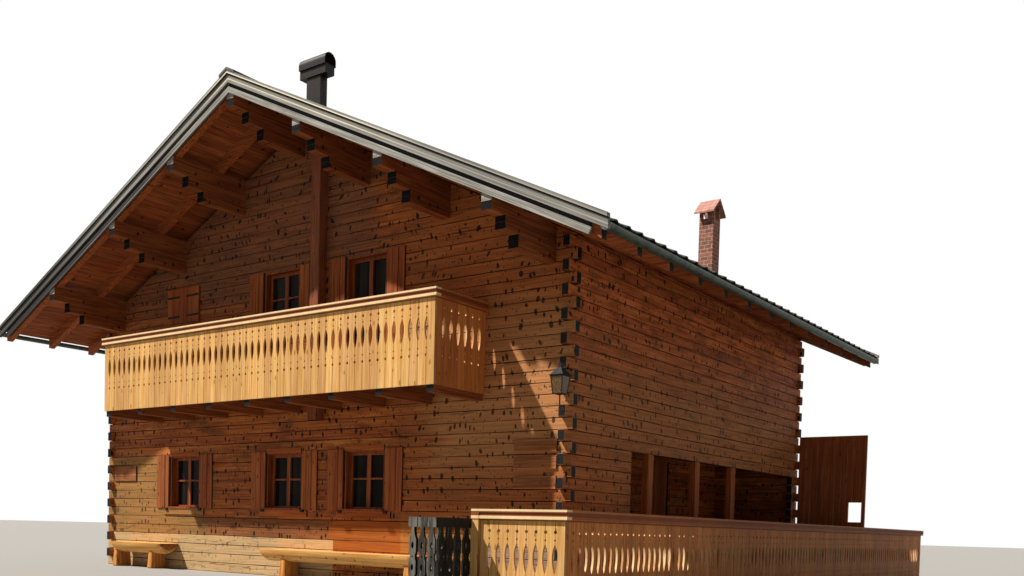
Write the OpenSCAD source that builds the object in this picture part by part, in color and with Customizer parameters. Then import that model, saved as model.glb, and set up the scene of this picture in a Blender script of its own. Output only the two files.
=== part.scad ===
// Alpine log chalet: squared-log walls, wide-eaved gable roof, sawn-baluster balcony and terrace fence.
// Millimetres. The origin is under the middle of the ground floor; the balcony gable faces -Y.

/* [House] */
// Width of the gable walls, over the side walls
house_w = 10600; // [9600:100:11800]
// Depth of the side walls, over the gable walls
house_d = 8400; // [7600:100:9400]
// Thickness of the wall logs
log_t = 100; // [80:5:140]
// Height of one log course
log_h = 160; // [140:5:180]
// How far the crossed log ends stand past the corners
log_end = 80; // [40:5:120]
// Depth of the bevel along each log joint
log_bevel = 9; // [4:1:14]
// Top of the upper floor
floor_z = 2950; // [2850:10:3050]
// Thickness of both floors
floor_t = 180; // [140:5:220]

/* [Roof] */
// Pitch of the roof in degrees
pitch = 25.4; // [22:0.2:29]
// Underside of the rafters at the ridge, above the ground
ridge_z = 7350; // [7150:10:7550]
// Overhang of the side eaves, level
eave_out = 1430; // [1000:10:1700]
// Overhang of the front verge
verge_out = 1470; // [1000:10:1700]
// Overhang of the rear verge
rear_out = 360; // [300:10:900]
// Depth of the rafters, square to the slope
rafter_h = 150; // [120:5:180]
// Width of the rafters
rafter_w = 110; // [80:5:140]
// Spacing of the rafters
rafter_gap = 850; // [700:10:1000]
// Thickness of the boards on the rafters
board_t = 24; // [18:1:32]
// Thickness of the battens and tiles
cover_t = 85; // [70:5:110]
// Rows of tiles on each slope
tile_rows = 22; // [18:1:26]

/* [Purlins] */
// Width of the purlins
purlin_w = 160; // [120:5:200]
// Height of the purlins at their middle
purlin_h = 200; // [170:5:240]
// Distance of the first purlins from the ridge
purlin_1 = 1475; // [1300:5:1600]
// Distance of the second purlins from the ridge
purlin_2 = 3090; // [2900:5:3300]
// Distance of the third purlins from the ridge
purlin_3 = 4955; // [4700:5:5050]
// Setback of each step of the consoles
step_back = 290; // [200:10:340]
// Height of each step of the consoles
step_h = 165; // [120:5:180]

/* [Balcony] */
// Distance of the balcony's left end from the house axis
balcony_left_out = 3835; // [3500:5:4200]
// Distance of the balcony's right end from the house axis
balcony_right_out = 3923; // [3500:1:4200]
// Depth of the balcony over its rail
balcony_d = 1138; // [950:1:1250]
// Top of the balcony rail
balcony_rail_z = 4055; // [3950:5:4150]
// Lower end of the balcony boards
balcony_low_z = 2785; // [2740:5:2830]
// Wanted width of one baluster board
board_w = 149; // [120:1:180]
// Wanted width of one fence board
fence_board_w = 136; // [110:1:180]
// Thickness of the baluster boards
baluster_t = 27; // [20:1:35]

/* [Windows] */
// Width of the window openings
window_w = 850; // [700:10:950]
// Underside of the window openings
window_z = 1105; // [1000:5:1200]
// Height of the window openings
window_h = 950; // [850:5:1050]
// Depth of the sashes behind the wall's face
window_in = 100; // [60:5:105]
// Head of the upper windows
upper_head_z = 5060; // [4950:5:5100]
// Thickness of shutters
shutter_t = 32; // [24:1:40]

/* [Terrace] */
// Distance of the side fence from the right wall
fence_out = 1400; // [1100:10:1700]
// Distance of the front fence from the front wall
fence_front_out = 2100; // [1700:10:2400]
// Length of the side fence
fence_len = 14900; // [9000:100:16000]
// Top of the fence rail
fence_z = 1115; // [1000:5:1200]
// Top of the terrace deck
deck_z = 120; // [90:5:180]

/* [Porch] */
// Start of the porch opening, from the front wall face
porch_y = 1740; // [1500:10:2200]
// Depth of the porch
porch_d = 1700; // [1300:10:2200]
// Courses of logs below the porch lintel
porch_courses = 13; // [13:1:14]

/* [Hidden] */

larch = "#b5763c";
larch_dark = "#7a4522";
larch_new = "#d9a75f";
grey_board = "#8b8a83";
slate = "#3b3f3e";
black = "#1c1c1c";

hw = house_w / 2;
hd = house_d / 2;
front = -hd;
rise = tan(pitch);
slant = 1 / cos(pitch);
eps = 1;
roof_half = hw + eave_out;
roof_front = front - verge_out;
roof_rear = hd + rear_out;
rafter_v = rafter_h * slant;
board_v = board_t * slant;
cover_v = cover_t * slant;
eave_courses = floor((ridge_z - hw * rise) / log_h) + 1;
gable_courses = ceil(ridge_z / log_h);
lintel_z = porch_courses * log_h;

// Underside of the rafters at a distance from the ridge
function under(x) = ridge_z - abs(x) * rise;

// Log walls. A wall is the overlap of its elevation, seen square on, and its section with bevelled joints.
module log_section(courses) {
    b = log_bevel;
    outer = [for (i = [0:courses - 1]) each [[0, i * log_h + b], [0, (i + 1) * log_h - b], [b, (i + 1) * log_h]]];
    inner = [for (i = [courses - 1:-1:0])
        each [[log_t - b, (i + 1) * log_h], [log_t, (i + 1) * log_h - b], [log_t, i * log_h + b]]];
    polygon(concat([[b, 0]], outer, inner, [[log_t - b, 0]]));
}

// Courses of one wall between two ends; courses of the wall's own parity run out past the corners
module courses(x0, x1, count, parity, ends = [true, true], first = 0) {
    for (i = [first:count - 1]) {
        long = i % 2 == parity;
        a = ends[0] ? (long ? -log_end : log_t) : 0;
        b = ends[1] ? (long ? log_end : -log_t) : 0;
        translate([x0 + a, i * log_h]) square([x1 - x0 + b - a, log_h]);
    }
}

// A wall along X whose outer face looks to -Y at y
module wall_x(y, count) {
    translate([0, y, 0]) intersection() {
        rotate([90, 0, 0]) translate([0, 0, -log_t]) linear_extrude(log_t) children();
        translate([-hw - log_end - eps, 0, 0])
            rotate([90, 0, 90]) linear_extrude(house_w + 2 * log_end + 2 * eps) log_section(count);
    }
}

// A wall along Y with its lower-x face at x
module wall_y(x, count) {
    translate([x, 0, 0]) intersection() {
        rotate([90, 0, 90]) linear_extrude(log_t) children();
        translate([0, hd + log_end + eps, 0])
            rotate([90, 0, 0]) linear_extrude(house_d + 2 * log_end + 2 * eps) log_section(count);
    }
}

module below_roof(drop = 0) {
    far = roof_half;
    polygon([[-far, 0], [far, 0], [far, under(far) - drop], [0, under(0) - drop], [-far, under(far) - drop]]);
}

// Sockets of the purlins and of their consoles in a gable wall
module sockets(steps) {
    for (s = [0, purlin_1, purlin_2, purlin_3], side = [-1, 1])
        translate([side * s - purlin_w / 2, under(s) - purlin_h - steps * step_h])
            square([purlin_w, purlin_h + steps * step_h + purlin_w]);
}

// Window centres on the front, from the house axis
lower_windows = [-2970, -290, 1560];
upper_window_x = -420;
balcony_door_x = 1520;
small_window_x = -3045;
small_w = 860;
small_h = 580;
small_over = 20;
side_windows = [-1900, 900];
rear_windows = [-3300, -600, 2300];
rear_upper_windows = [-1900, 1900];

module window_hole(x, z, w = window_w, h = window_h) {
    translate([x - w / 2, z]) square([w, h]);
}

balcony_door_z = floor_z + 20;

module front_holes() {
    for (x = lower_windows) window_hole(x, window_z);
    window_hole(upper_window_x, upper_head_z - window_h);
    window_hole(balcony_door_x, balcony_door_z, window_w, upper_head_z - balcony_door_z);
    window_hole(small_window_x, upper_head_z - small_h, small_w, small_h);
}

module rear_holes() {
    for (x = rear_windows) window_hole(x, window_z);
    for (x = rear_upper_windows) window_hole(x, upper_head_z - window_h);
}

module front_wall() {
    color(larch) wall_x(front, gable_courses) difference() {
        intersection() {
            union() {
                courses(-hw, hw, eave_courses, 0);
                translate([-hw, 0]) courses(0, house_w, gable_courses, 0, [false, false], eave_courses);
            }
            below_roof();
        }
        sockets(2);
        front_holes();
    }
}

module rear_wall() {
    color(larch) wall_x(hd - log_t, gable_courses) difference() {
        intersection() {
            union() {
                courses(-hw, hw, eave_courses, 0);
                translate([-hw, 0]) courses(0, house_w, gable_courses, 0, [false, false], eave_courses);
            }
            below_roof();
        }
        sockets(0);
        rear_holes();
    }
}

// Cuts a side wall's top to the slope of the rafters
module slope_cut() {
    rotate([90, 0, 0]) translate([0, 0, -hd - 2 * log_end]) linear_extrude(house_d + 4 * log_end) below_roof();
}

module side_elevation(first = 0) {
    courses(-hd, hd, eave_courses, 1, [true, true], first);
}

module left_wall() {
    color(larch) intersection() {
        wall_y(-hw, eave_courses) difference() {
            side_elevation();
            for (y = side_windows) window_hole(y, window_z);
        }
        slope_cut();
    }
}

module right_wall_upper() {
    color(larch) intersection() {
        wall_y(hw - log_t, eave_courses) side_elevation(porch_courses);
        slope_cut();
    }
}

module right_wall_lower() {
    color(larch) wall_y(hw - log_t, porch_courses)
        courses(-hd, front + porch_y, porch_courses, 1, [true, false]);
}

// Short stack of crossed logs that carries the wall over the porch at the rear corner
corner_len = 200;

module right_wall_corner() {
    color(larch) wall_y(hw - log_t, porch_courses)
        courses(hd - corner_len, hd, porch_courses, 1, [false, true]);
}

porch_back = hw - porch_d;
porch_front = front + porch_y;
room_h = floor_z - 2 * floor_t;
room_courses = ceil((floor_z - floor_t) / log_h);

module porch_cross_wall() {
    color(larch) intersection() {
        translate([porch_back, porch_front, floor_t]) rotate([90, 0, 0])
            linear_extrude(log_t) square([porch_d - log_t, room_h]);
        translate([porch_back, porch_front - log_t, 0])
            rotate([90, 0, 90]) linear_extrude(porch_d) log_section(room_courses);
    }
}

door_w = 1000;
door_h = 2080;
door_y = 1500;

module porch_side_wall() {
    color(larch) wall_y(porch_back - log_t, room_courses) difference() {
        translate([porch_front - log_t, floor_t]) square([house_d - porch_y, room_h]);
        translate([door_y - door_w / 2, 0]) square([door_w, floor_t + door_h]);
    }
}

module porch_door() {
    color(larch_dark) translate([porch_back - log_t, door_y - door_w / 2, floor_t])
        cube([log_t * 0.7, door_w, door_h]);
}

post_w = 170;
post_places = [2335, 3945, 5375];

module porch_posts() {
    color(larch) for (y = post_places)
        translate([hw - log_t, front + y - post_w / 2, floor_t]) cube([log_t, post_w, lintel_z - floor_t]);
}

module ground_floor() {
    color("tan") {
        translate([-hw + log_t, front + log_t, 0]) cube([house_w - 2 * log_t, house_d - 2 * log_t, floor_t]);
        translate([hw - 2 * log_t, porch_front, 0])
            cube([2 * log_t, hd - corner_len - porch_front, floor_t]);
    }
}

module upper_floor() {
    color("tan") translate([-hw + log_t, front + log_t, floor_z - floor_t])
        cube([house_w - 2 * log_t, house_d - 2 * log_t, floor_t]);
}

// Roof. Every layer is a sloped strip, given by its height over the rafters' underside.
module slope_strip(low, high, side, x0 = 0, x1 = roof_half) {
    mirror([side < 0 ? 1 : 0, 0, 0])
        polygon([[x0, under(x0) + low], [x1, under(x1) + low], [x1, under(x1) + high], [x0, under(x0) + high]]);
}

module along_y(y0, y1) {
    translate([0, y1, 0]) rotate([90, 0, 0]) linear_extrude(y1 - y0) children();
}

verge_t = 30;
gutter_r = 72;
eave_gap = 130;
tile_over = 60;
rafter_half = roof_half - eave_gap;
tile_half = rafter_half + tile_over;
rafter_first = roof_front + 2 * verge_t + 10;
rafter_last = roof_rear - 2 * verge_t - 10;
rafter_count = round((rafter_last - rafter_first - rafter_w) / rafter_gap) + 1;
rafter_step = (rafter_last - rafter_first - rafter_w) / (rafter_count - 1);

module rafters(side) {
    color(larch) for (i = [0:rafter_count - 1])
        along_y(rafter_first + i * rafter_step, rafter_first + i * rafter_step + rafter_w)
            slope_strip(0, rafter_v, side, 0, rafter_half);
}

module roof_boards(side) {
    color(larch_dark) along_y(roof_front + 2 * verge_t, roof_rear - 2 * verge_t)
        slope_strip(rafter_v, rafter_v + board_v, side, 0, rafter_half);
}

// Height of the tiles' top over the rafters' underside
top_v = rafter_v + board_v + cover_v;

cap_h = 60;
cap_half = 170;
cap_out = 10;
tile_step = 24;
tile_drop = 12;
tile_first = cap_half + 20;

// Tiles of one slope over a base height, in rows that lap over each other; a plain strip lies under the cap
module tile_rows_profile(side, base = rafter_v + board_v) {
    run = (tile_half - tile_first) / tile_rows;
    top = top_v - tile_drop;
    rows = [for (i = [0:tile_rows - 1]) let (a = tile_first + i * run, b = a + run)
        each [[a, under(a) + top - tile_step], [b, under(b) + top]]];
    mirror([side < 0 ? 1 : 0, 0, 0]) polygon(concat(
        [[tile_half, under(tile_half) + base], [0, under(0) + base], [0, under(0) + top_v],
         [tile_first, under(tile_first) + top_v]], rows));
}

module roof_tiles(side) {
    color(slate) along_y(roof_front + verge_t, roof_rear - verge_t) tile_rows_profile(side);
}

// Ridge cap profile over a base height
module cap_profile(base) {
    difference() {
        polygon([[-cap_half, under(cap_half) + base], [cap_half, under(cap_half) + base],
            [cap_half, under(cap_half) + top_v + cap_h], [0, under(0) + top_v + cap_h],
            [-cap_half, under(cap_half) + top_v + cap_h]]);
        below_roof(-base);
    }
}

// Layers of the verge from its top down: a strip that stands out, a groove, a board, a recess and a lower board
verge_over = 23;
strip_h = 48;
groove_h = 18;
verge_upper = 112;
recess_h = 55;
verge_lower = 92;
strip_out = 40;
board_out = 15;
groove_in = 12;
verge_lower_half = rafter_half - 100;

// A piece along Y between two depths, counted inwards from y
module inwards(y, dir, a, b) {
    along_y(min(y + dir * a, y + dir * b), max(y + dir * a, y + dir * b)) children();
}

// A sloped strip whose outer end is cut square to the slope
module square_strip(low, high, side, x1) {
    back = (high - low) * sin(pitch) * cos(pitch);
    mirror([side < 0 ? 1 : 0, 0, 0])
        polygon([[0, under(0) + low], [x1 - back, under(x1 - back) + low],
            [x1, under(x1) + high], [0, under(0) + high]]);
}

module verge_pair(y, dir, side) {
    strip = top_v + verge_over;
    groove = strip - strip_h;
    upper = groove - groove_h;
    recess = upper - verge_upper;
    lower = recess - recess_h;
    inwards(y, dir, -strip_out, verge_t) slope_strip(groove, strip, side);
    inwards(y, dir, groove_in, verge_t) slope_strip(upper, groove, side);
    inwards(y, dir, -board_out, verge_t) slope_strip(recess, upper, side);
    inwards(y, dir, 0, verge_t) square_strip(lower - verge_lower, lower, side, verge_lower_half);
    inwards(y, dir, verge_t, 2 * verge_t)
        slope_strip(lower - verge_t, rafter_v + board_v, side, 0, verge_lower_half - verge_t);
}

module verge_boards(side) {
    color(grey_board) {
        verge_pair(roof_front, 1, side);
        verge_pair(roof_rear, -1, side);
    }
}

module ridge_cap() {
    color(slate) {
        along_y(roof_front + verge_t, roof_rear - verge_t) cap_profile(top_v);
        along_y(roof_front - strip_out - cap_out, roof_front + verge_t) cap_profile(top_v + verge_over);
        along_y(roof_rear - verge_t, roof_rear + strip_out + cap_out) cap_profile(top_v + verge_over);
    }
}

gutter_wall = 5;
gutter_drop = 10;
strap_w = 30;
end_gap = 4;

module gutter_half(outer, inner) {
    difference() {
        circle(r = outer, $fn = 40);
        if (inner > 0) circle(r = inner, $fn = 40);
        translate([-outer - eps, 0]) square([2 * outer + 2 * eps, outer + eps]);
    }
}

// Half-round gutter with an end cap at each end and a strap on every rafter end
module gutter(side) {
    y0 = roof_front + verge_t + end_gap;
    y1 = roof_rear - verge_t - end_gap;
    z = under(rafter_half + gutter_r) + rafter_v + board_v - gutter_drop;
    color(slate) mirror([side < 0 ? 1 : 0, 0, 0]) translate([rafter_half + gutter_r, 0, z]) {
        along_y(y0, y1) gutter_half(gutter_r, gutter_r - gutter_wall);
        for (y = [y0, y1 - gutter_wall]) along_y(y, y + gutter_wall) gutter_half(gutter_r, 0);
        for (i = [0:rafter_count - 1]) {
            y = rafter_first + i * rafter_step + (rafter_w - strap_w) / 2;
            along_y(y, y + strap_w) translate([-gutter_r, -gutter_r]) square([gutter_wall, 1.5 * gutter_r]);
        }
    }
}

end_groove = 10;

// Groove across the middle of one end face
module groove_cut(y, z) {
    translate([y - eps, z - end_groove / 2]) square([end_groove + eps, end_groove]);
}

// One purlin with its stepped console under the front verge, drawn in the YZ plane and widened along X
module purlin(s, side) {
    z1 = under(s);
    z0 = z1 - purlin_h;
    y0 = roof_front + verge_t + end_gap;
    y1 = front + log_t + step_back;
    y2 = roof_rear - verge_t - end_gap;
    intersection() {
        translate([side * s - purlin_w / 2, 0, 0]) rotate([90, 0, 90]) linear_extrude(purlin_w) difference() {
            polygon([[y0, z0], [y0, z1 + purlin_w], [y2, z1 + purlin_w], [y2, z0],
                [y1 + step_back, z0], [y1 + step_back, z0 - step_h],
                [y1, z0 - step_h], [y1, z0 - 2 * step_h], [y0 + 2 * step_back, z0 - 2 * step_h],
                [y0 + 2 * step_back, z0 - step_h], [y0 + step_back, z0 - step_h], [y0 + step_back, z0]]);
            groove_cut(y0, z0 + purlin_h / 2);
            for (i = [1, 2]) groove_cut(y0 + i * step_back, z0 - (i - 0.5) * step_h);
        }
        along_y(roof_front, roof_rear) below_roof();
    }
}

module ridge_purlin() {
    color(larch) purlin(0, 1);
}

// The three purlins under one slope
module purlins(side) {
    color(larch) for (s = [purlin_1, purlin_2, purlin_3]) purlin(s, side);
}

// Balcony
balcony_x0 = -balcony_left_out;
balcony_x1 = balcony_right_out;
rail_w = 110;
rail_cap = 38;
rail_band = 38;
rail_strip = 36;
rail_h = rail_cap + rail_band + rail_strip;
board_in = (rail_w - baluster_t) / 2;
board_back = board_in + baluster_t;
board_gap = 5;
cut_scale = 1158;

// Half of a pointed oval of width w, standing on the x axis and h high
module half_oval(w, h) {
    r = (w * w / 4 + h * h) / w;
    intersection() {
        translate([w / 2 - r, 0]) circle(r = r, $fn = 96);
        translate([r - w / 2, 0]) circle(r = r, $fn = 96);
        translate([-w, 0]) square([2 * w, h + eps]);
    }
}

// A pointed oval with its widest place at the origin
module pointed_oval(w, up, down) {
    half_oval(w, up);
    mirror([0, 1]) half_oval(w, down);
}

// One ornamental cut between two boards: round holes above and below a pointed oval
module baluster_cut(h) {
    k = h / cut_scale;
    for (hole = [[395, 21], [488, 13], [945, 13], [1030, 21]])
        translate([0, hole[0] * k]) circle(r = hole[1], $fn = 24);
    translate([0, 770 * k]) pointed_oval(74, 145, 200);
}

// Boards are cut in panels of this many
panel = 8;

// A run of baluster boards under a moulded rail, along X from 0, outer face at y = 0.
// The boards start and end at trim from the ends of the rail.
module balustrade(len, low, top, cut_low, trim, wanted) {
    boards = len - trim[0] - trim[1];
    n = round(boards / wanted);
    w = boards / n;
    h = top - rail_h - low;
    for (first = [0:panel:n - 1]) {
        last = min(first + panel, n);
        translate([trim[0], board_back, low]) rotate([90, 0, 0]) linear_extrude(baluster_t) difference() {
            translate([first * w + board_gap / 2, 0]) square([(last - first) * w - board_gap, h]);
            for (i = [max(first, 1):1:min(last, n - 1)])
                translate([i * w, cut_low]) baluster_cut(h - cut_low);
            for (i = [first + 1:1:last - 1])
                translate([i * w - board_gap / 2, -eps]) square([board_gap, h - 40]);
        }
    }
    translate([0, 0, top - rail_cap]) cube([len, rail_w, rail_cap]);
    translate([0, 14, top - rail_cap - rail_band]) cube([len, rail_w - 28, rail_band]);
    translate([0, 4, top - rail_h]) cube([len, rail_w - 8, rail_strip]);
}

module balcony_front() {
    color(larch_new) translate([balcony_x0, front - balcony_d, 0])
        balustrade(balcony_x1 - balcony_x0, balcony_low_z, balcony_rail_z, 0, [board_in, board_in], board_w);
}

// An end of the balcony, its outer face to +X at x
module balcony_end(x) {
    color(larch_new) translate([x, front - balcony_d + rail_w, 0]) rotate([0, 0, 90])
        balustrade(balcony_d - rail_w, balcony_low_z, balcony_rail_z, 0, [board_back - rail_w, 0], board_w);
}

module balcony_left() {
    balcony_end(balcony_x0 + rail_w);
}

module balcony_right() {
    balcony_end(balcony_x1);
}

joist_w = 120;
joist_h = 225;
joist_count = 9;
deck_t = 35;

gable_post_x = 530;
gable_post_w = 200;
gable_post_d = 170;
gable_post_z = 2550;

floor_x0 = balcony_x0 + board_back;
floor_x1 = balcony_x1 - board_back;
floor_y = front - balcony_d + board_back;

module balcony_floor() {
    color(larch_dark) difference() {
        translate([floor_x0, floor_y, floor_z - deck_t]) cube([floor_x1 - floor_x0, front - floor_y, deck_t]);
        translate([gable_post_x - gable_post_w / 2, front - gable_post_d, floor_z - deck_t - eps])
            cube([gable_post_w, gable_post_d + eps, deck_t + 2 * eps]);
    }
}

module balcony_joists() {
    pitch_x = (floor_x1 - floor_x0 - joist_w) / (joist_count - 1);
    color(larch_dark) for (i = [0:joist_count - 1])
        translate([floor_x0 + i * pitch_x, floor_y, floor_z - deck_t - joist_h])
            cube([joist_w, front - floor_y, joist_h]);
}

module gable_post() {
    color(larch) intersection() {
        translate([gable_post_x - gable_post_w / 2, front - gable_post_d, gable_post_z])
            cube([gable_post_w, gable_post_d, ridge_z - gable_post_z]);
        along_y(roof_front, front) below_roof();
    }
}

// Windows
lining_t = 22;
lining_in = 6;
sash_w = 48;
sash_t = 45;
mullion_w = 80;
bar_h = 28;
bar_t = 30;
bar_place = 0.525;

// A square-cut ring, w wide and h high outside, with sides t wide, standing on y = base
module ring(w, h, t, base) {
    translate([-w / 2, base]) difference() {
        square([w, h]);
        translate([t, t]) square([w - 2 * t, h - 2 * t]);
    }
}

// Boarded reveal from the wall's face inwards with a divided sash at its inner end
module window_frame(w, h) {
    inner_w = w - 2 * lining_t;
    inner_h = h - 2 * lining_t;
    low = lining_t + sash_w;
    translate([0, window_in + sash_t, 0]) rotate([90, 0, 0]) {
        linear_extrude(window_in + sash_t - lining_in) ring(w, h, lining_t, 0);
        linear_extrude(sash_t) ring(inner_w, inner_h, sash_w, lining_t);
        translate([0, 0, sash_t - bar_t]) linear_extrude(bar_t) {
            translate([-mullion_w / 2, low]) square([mullion_w, h - 2 * low]);
            translate([-w / 2 + low, h * bar_place]) square([w - 2 * low, bar_h]);
        }
    }
}

front_frames = concat(
    [for (x = lower_windows) [x, window_z, window_h]],
    [[upper_window_x, upper_head_z - window_h, window_h],
     [balcony_door_x, balcony_door_z, upper_head_z - balcony_door_z]]);

sill_out = 40;
sill_t = 35;

module windows_front() {
    color(larch_dark) for (f = front_frames) {
        translate([f[0], front, f[1]]) window_frame(window_w, f[2]);
        if (f[2] == window_h) translate([f[0] - window_w / 2, front - sill_out, f[1]])
            cube([window_w, sill_out + window_in, sill_t]);
    }
}

head_out = 18;
head_h = 75;
apron_out = 25;
apron_h = 105;
apron_side = 160;

// Boards over the heads and under the sills of the lower windows
module window_trims() {
    color(larch) for (x = lower_windows) {
        translate([x - window_w / 2, front - head_out, window_z + window_h]) cube([window_w, head_out, head_h]);
        translate([x - window_w / 2 - apron_side, front - apron_out, window_z - apron_h])
            cube([window_w + 2 * apron_side, apron_out, apron_h]);
    }
}

module glass_front() {
    in = lining_t + sash_w;
    color("#25303a") for (f = front_frames)
        translate([f[0] - window_w / 2 + in, front + window_in + bar_t, f[1] + in])
            cube([window_w - 2 * in, 8, f[2] - 2 * in]);
}

leaf_w = 390;
leaf_over = 25;
leaf_gap = 2;

module leaf(x, z, w, h) {
    translate([x, front - shutter_t, z]) cube([w, shutter_t, h]);
}

module shutters_front() {
    color(larch) {
        for (f = front_frames, side = [0, 1])
            leaf(f[0] + (side == 0 ? -window_w / 2 - leaf_w : window_w / 2), f[1], leaf_w, f[2] + leaf_over);
        for (side = [0, 1])
            leaf(small_window_x + (side == 0 ? -small_w / 2 - small_over : leaf_gap),
                upper_head_z - small_h - small_over, small_w / 2 + small_over - leaf_gap, small_h + 2 * small_over);
    }
}

module shutters_left() {
    color(larch) for (y = side_windows)
        translate([-hw, y - window_w / 2, window_z]) cube([log_t * 0.6, window_w, window_h]);
}

module shutters_rear() {
    color(larch) {
        for (x = rear_windows) translate([x - window_w / 2, hd - log_t * 0.6, window_z])
            cube([window_w, log_t * 0.6, window_h]);
        for (x = rear_upper_windows) translate([x - window_w / 2, hd - log_t * 0.6, upper_head_z - window_h])
            cube([window_w, log_t * 0.6, window_h]);
    }
}

// Benches: thick seats with a rounded front edge on round feet, their backs against the wall
bench_z = 460;
bench_d = 430;
bench_t = 75;
bench_foot_r = 95;
bench_foot_in = 320;
bench_left_x = [-4670, -2510];
bench_right_x = [-410, 2930];

module bench(ends) {
    r = bench_t / 2;
    len = ends[1] - ends[0];
    color(larch_new) translate([ends[0], front - bench_d + r, bench_z]) {
        translate([0, 0, -bench_t]) cube([len, bench_d - r, bench_t]);
        translate([0, 0, -r]) rotate([0, 90, 0]) cylinder(r = r, h = len, $fn = 32);
    }
}

module bench_left() {
    bench(bench_left_x);
}

module bench_right() {
    bench(bench_right_x);
}

module bench_feet() {
    color(larch_new) for (ends = [bench_left_x, bench_right_x])
        for (x = [ends[0] + bench_foot_in, ends[1] - bench_foot_in])
            translate([x, front - bench_d / 2, 0]) cylinder(r = bench_foot_r, h = bench_z - bench_t, $fn = 32);
}

// Terrace fence
fence_x = hw + fence_out;
fence_y = front - fence_front_out;
fence_front_len = 1330;
fence_post = 115;
fence_low = 30;
fence_bays = 6;
fence_cut = -250;
corner_trim = board_back - rail_w;

module fence_front() {
    color(larch_new) translate([fence_x - fence_front_len, fence_y, 0]) {
        balustrade(fence_front_len, fence_low, fence_z, fence_cut, [fence_post, board_in], fence_board_w);
        cube([fence_post, fence_post, fence_z - rail_cap]);
    }
}

module fence_side() {
    len = fence_len - 2 * rail_w;
    color(larch_new) translate([fence_x, fence_y + rail_w, 0]) rotate([0, 0, 90]) {
        balustrade(len, fence_low, fence_z, fence_cut, [corner_trim, corner_trim], fence_board_w);
        for (i = [0:fence_bays]) translate([i * (len - fence_post) / fence_bays, board_back, deck_z])
            cube([fence_post, fence_post, fence_z - rail_h - deck_z]);
    }
}

module fence_rear() {
    len = fence_out - log_end;
    color(larch_new) translate([hw + log_end, fence_y + fence_len, 0]) mirror([0, 1, 0]) {
        balustrade(len, fence_low, fence_z, fence_cut, [fence_post, board_in], fence_board_w);
        cube([fence_post, fence_post, fence_z - rail_cap]);
    }
}

module terrace_deck() {
    y0 = fence_y + board_back;
    color(larch_dark) {
        difference() {
            translate([hw + log_end, y0, 0])
                cube([fence_out - board_back - log_end, fence_len - 2 * board_back, deck_z]);
            for (p = [[fence_x - fence_front_len, fence_y], [hw + log_end, fence_y + fence_len - fence_post]])
                translate([p[0], p[1], -eps]) cube([fence_post, fence_post, deck_z + 2 * eps]);
        }
        translate([hw, front + log_t, 0]) cube([log_end, house_d - 2 * log_t, deck_z]);
    }
}

// Stand of black carved boards beside the end post of the front fence
stand_lap = 19;
stand_w = 424;
stand_d = 630;
stand_z = 1000;
stand_t = 24;
stand_x = fence_x - fence_front_len - stand_w + stand_lap;
stand_y = fence_y - stand_d;
stand_head = 112;
stand_foot = 210;
stand_middle = 552;
stand_slot = 36;
stand_gap = 12;
stand_neck = 98;
neck_h = 20;
neck_taper = 150;

// One face of the stand, w wide in n boards, seen square on; plank joins the heads
module stand_face(w, n, plank) {
    pitch_x = w / n;
    top = stand_z - stand_head - neck_h;
    low = stand_foot + neck_h;
    difference() {
        square([w, stand_z]);
        for (i = [0:n]) translate([i * pitch_x, 0]) {
            translate([-stand_slot / 2, stand_foot]) square([stand_slot, stand_z - stand_head - stand_foot]);
            for (z = [top, low - neck_h]) translate([-stand_neck / 2, z]) square([stand_neck, neck_h]);
            translate([0, top]) mirror([0, 1]) half_oval(stand_neck, neck_taper);
            translate([0, low]) half_oval(stand_neck, neck_taper);
            translate([0, stand_middle]) pointed_oval(66, 75, 75);
            if (!plank) translate([-stand_gap / 2, stand_foot]) square([stand_gap, stand_z]);
        }
        for (i = [0:n - 1]) translate([(i + 0.5) * pitch_x, stand_middle]) {
            circle(r = 11, $fn = 24);
            for (z = [-125, 125]) translate([0, z]) pointed_oval(38, 45, 39);
        }
    }
}

module stand_ends() {
    color(black) for (y = [stand_t, stand_d])
        translate([stand_x, stand_y + y, 0]) rotate([90, 0, 0])
            linear_extrude(stand_t) stand_face(stand_w, 3, false);
}

module stand_sides() {
    color(black) for (x = [0, stand_w - stand_t])
        translate([stand_x + x, stand_y + stand_t, 0]) rotate([90, 0, 90])
            linear_extrude(stand_t) stand_face(stand_d - 2 * stand_t, 4, true);
}

module stand_top() {
    color(black) translate([stand_x + stand_t, stand_y + stand_t, stand_z - 2 * stand_t])
        cube([stand_w - 2 * stand_t, stand_d - 2 * stand_t, stand_t]);
}

screen_z = 2880;
screen_t = 60;
slat_w = 118;
slat_gap = 14;
screen_border = 120;
screen_hole = [260, 380];
screen_hole_z = 1210;
screen_hole_x = -210;

// Slatted screen across the terrace, with a small opening near the fence
module wind_screen() {
    x0 = hw + log_end;
    x1 = fence_x - rail_w;
    n = floor((x1 - x0 - 2 * screen_border) / slat_w);
    first = (x1 - x0 - n * slat_w) / 2;
    color(larch) translate([0, hd, 0]) rotate([90, 0, 0]) linear_extrude(screen_t) difference() {
        polygon([[x0, deck_z], [x1, deck_z], [x1, fence_z], [fence_x, fence_z], [fence_x, screen_z], [x0, screen_z]]);
        for (i = [0:n]) translate([x0 + first + i * slat_w - slat_gap / 2, deck_z + screen_border])
            square([slat_gap, screen_z - deck_z - 2 * screen_border]);
        translate([x1 + screen_hole_x, screen_hole_z]) square(screen_hole);
    }
}

// Cuts away what is under the tiles and the ridge cap
module above_roof() {
    difference() {
        children();
        along_y(roof_front, roof_rear) {
            below_roof(-rafter_v);
            tile_rows_profile(1, 0);
            tile_rows_profile(-1, 0);
            cap_profile(rafter_v);
        }
    }
}

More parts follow.
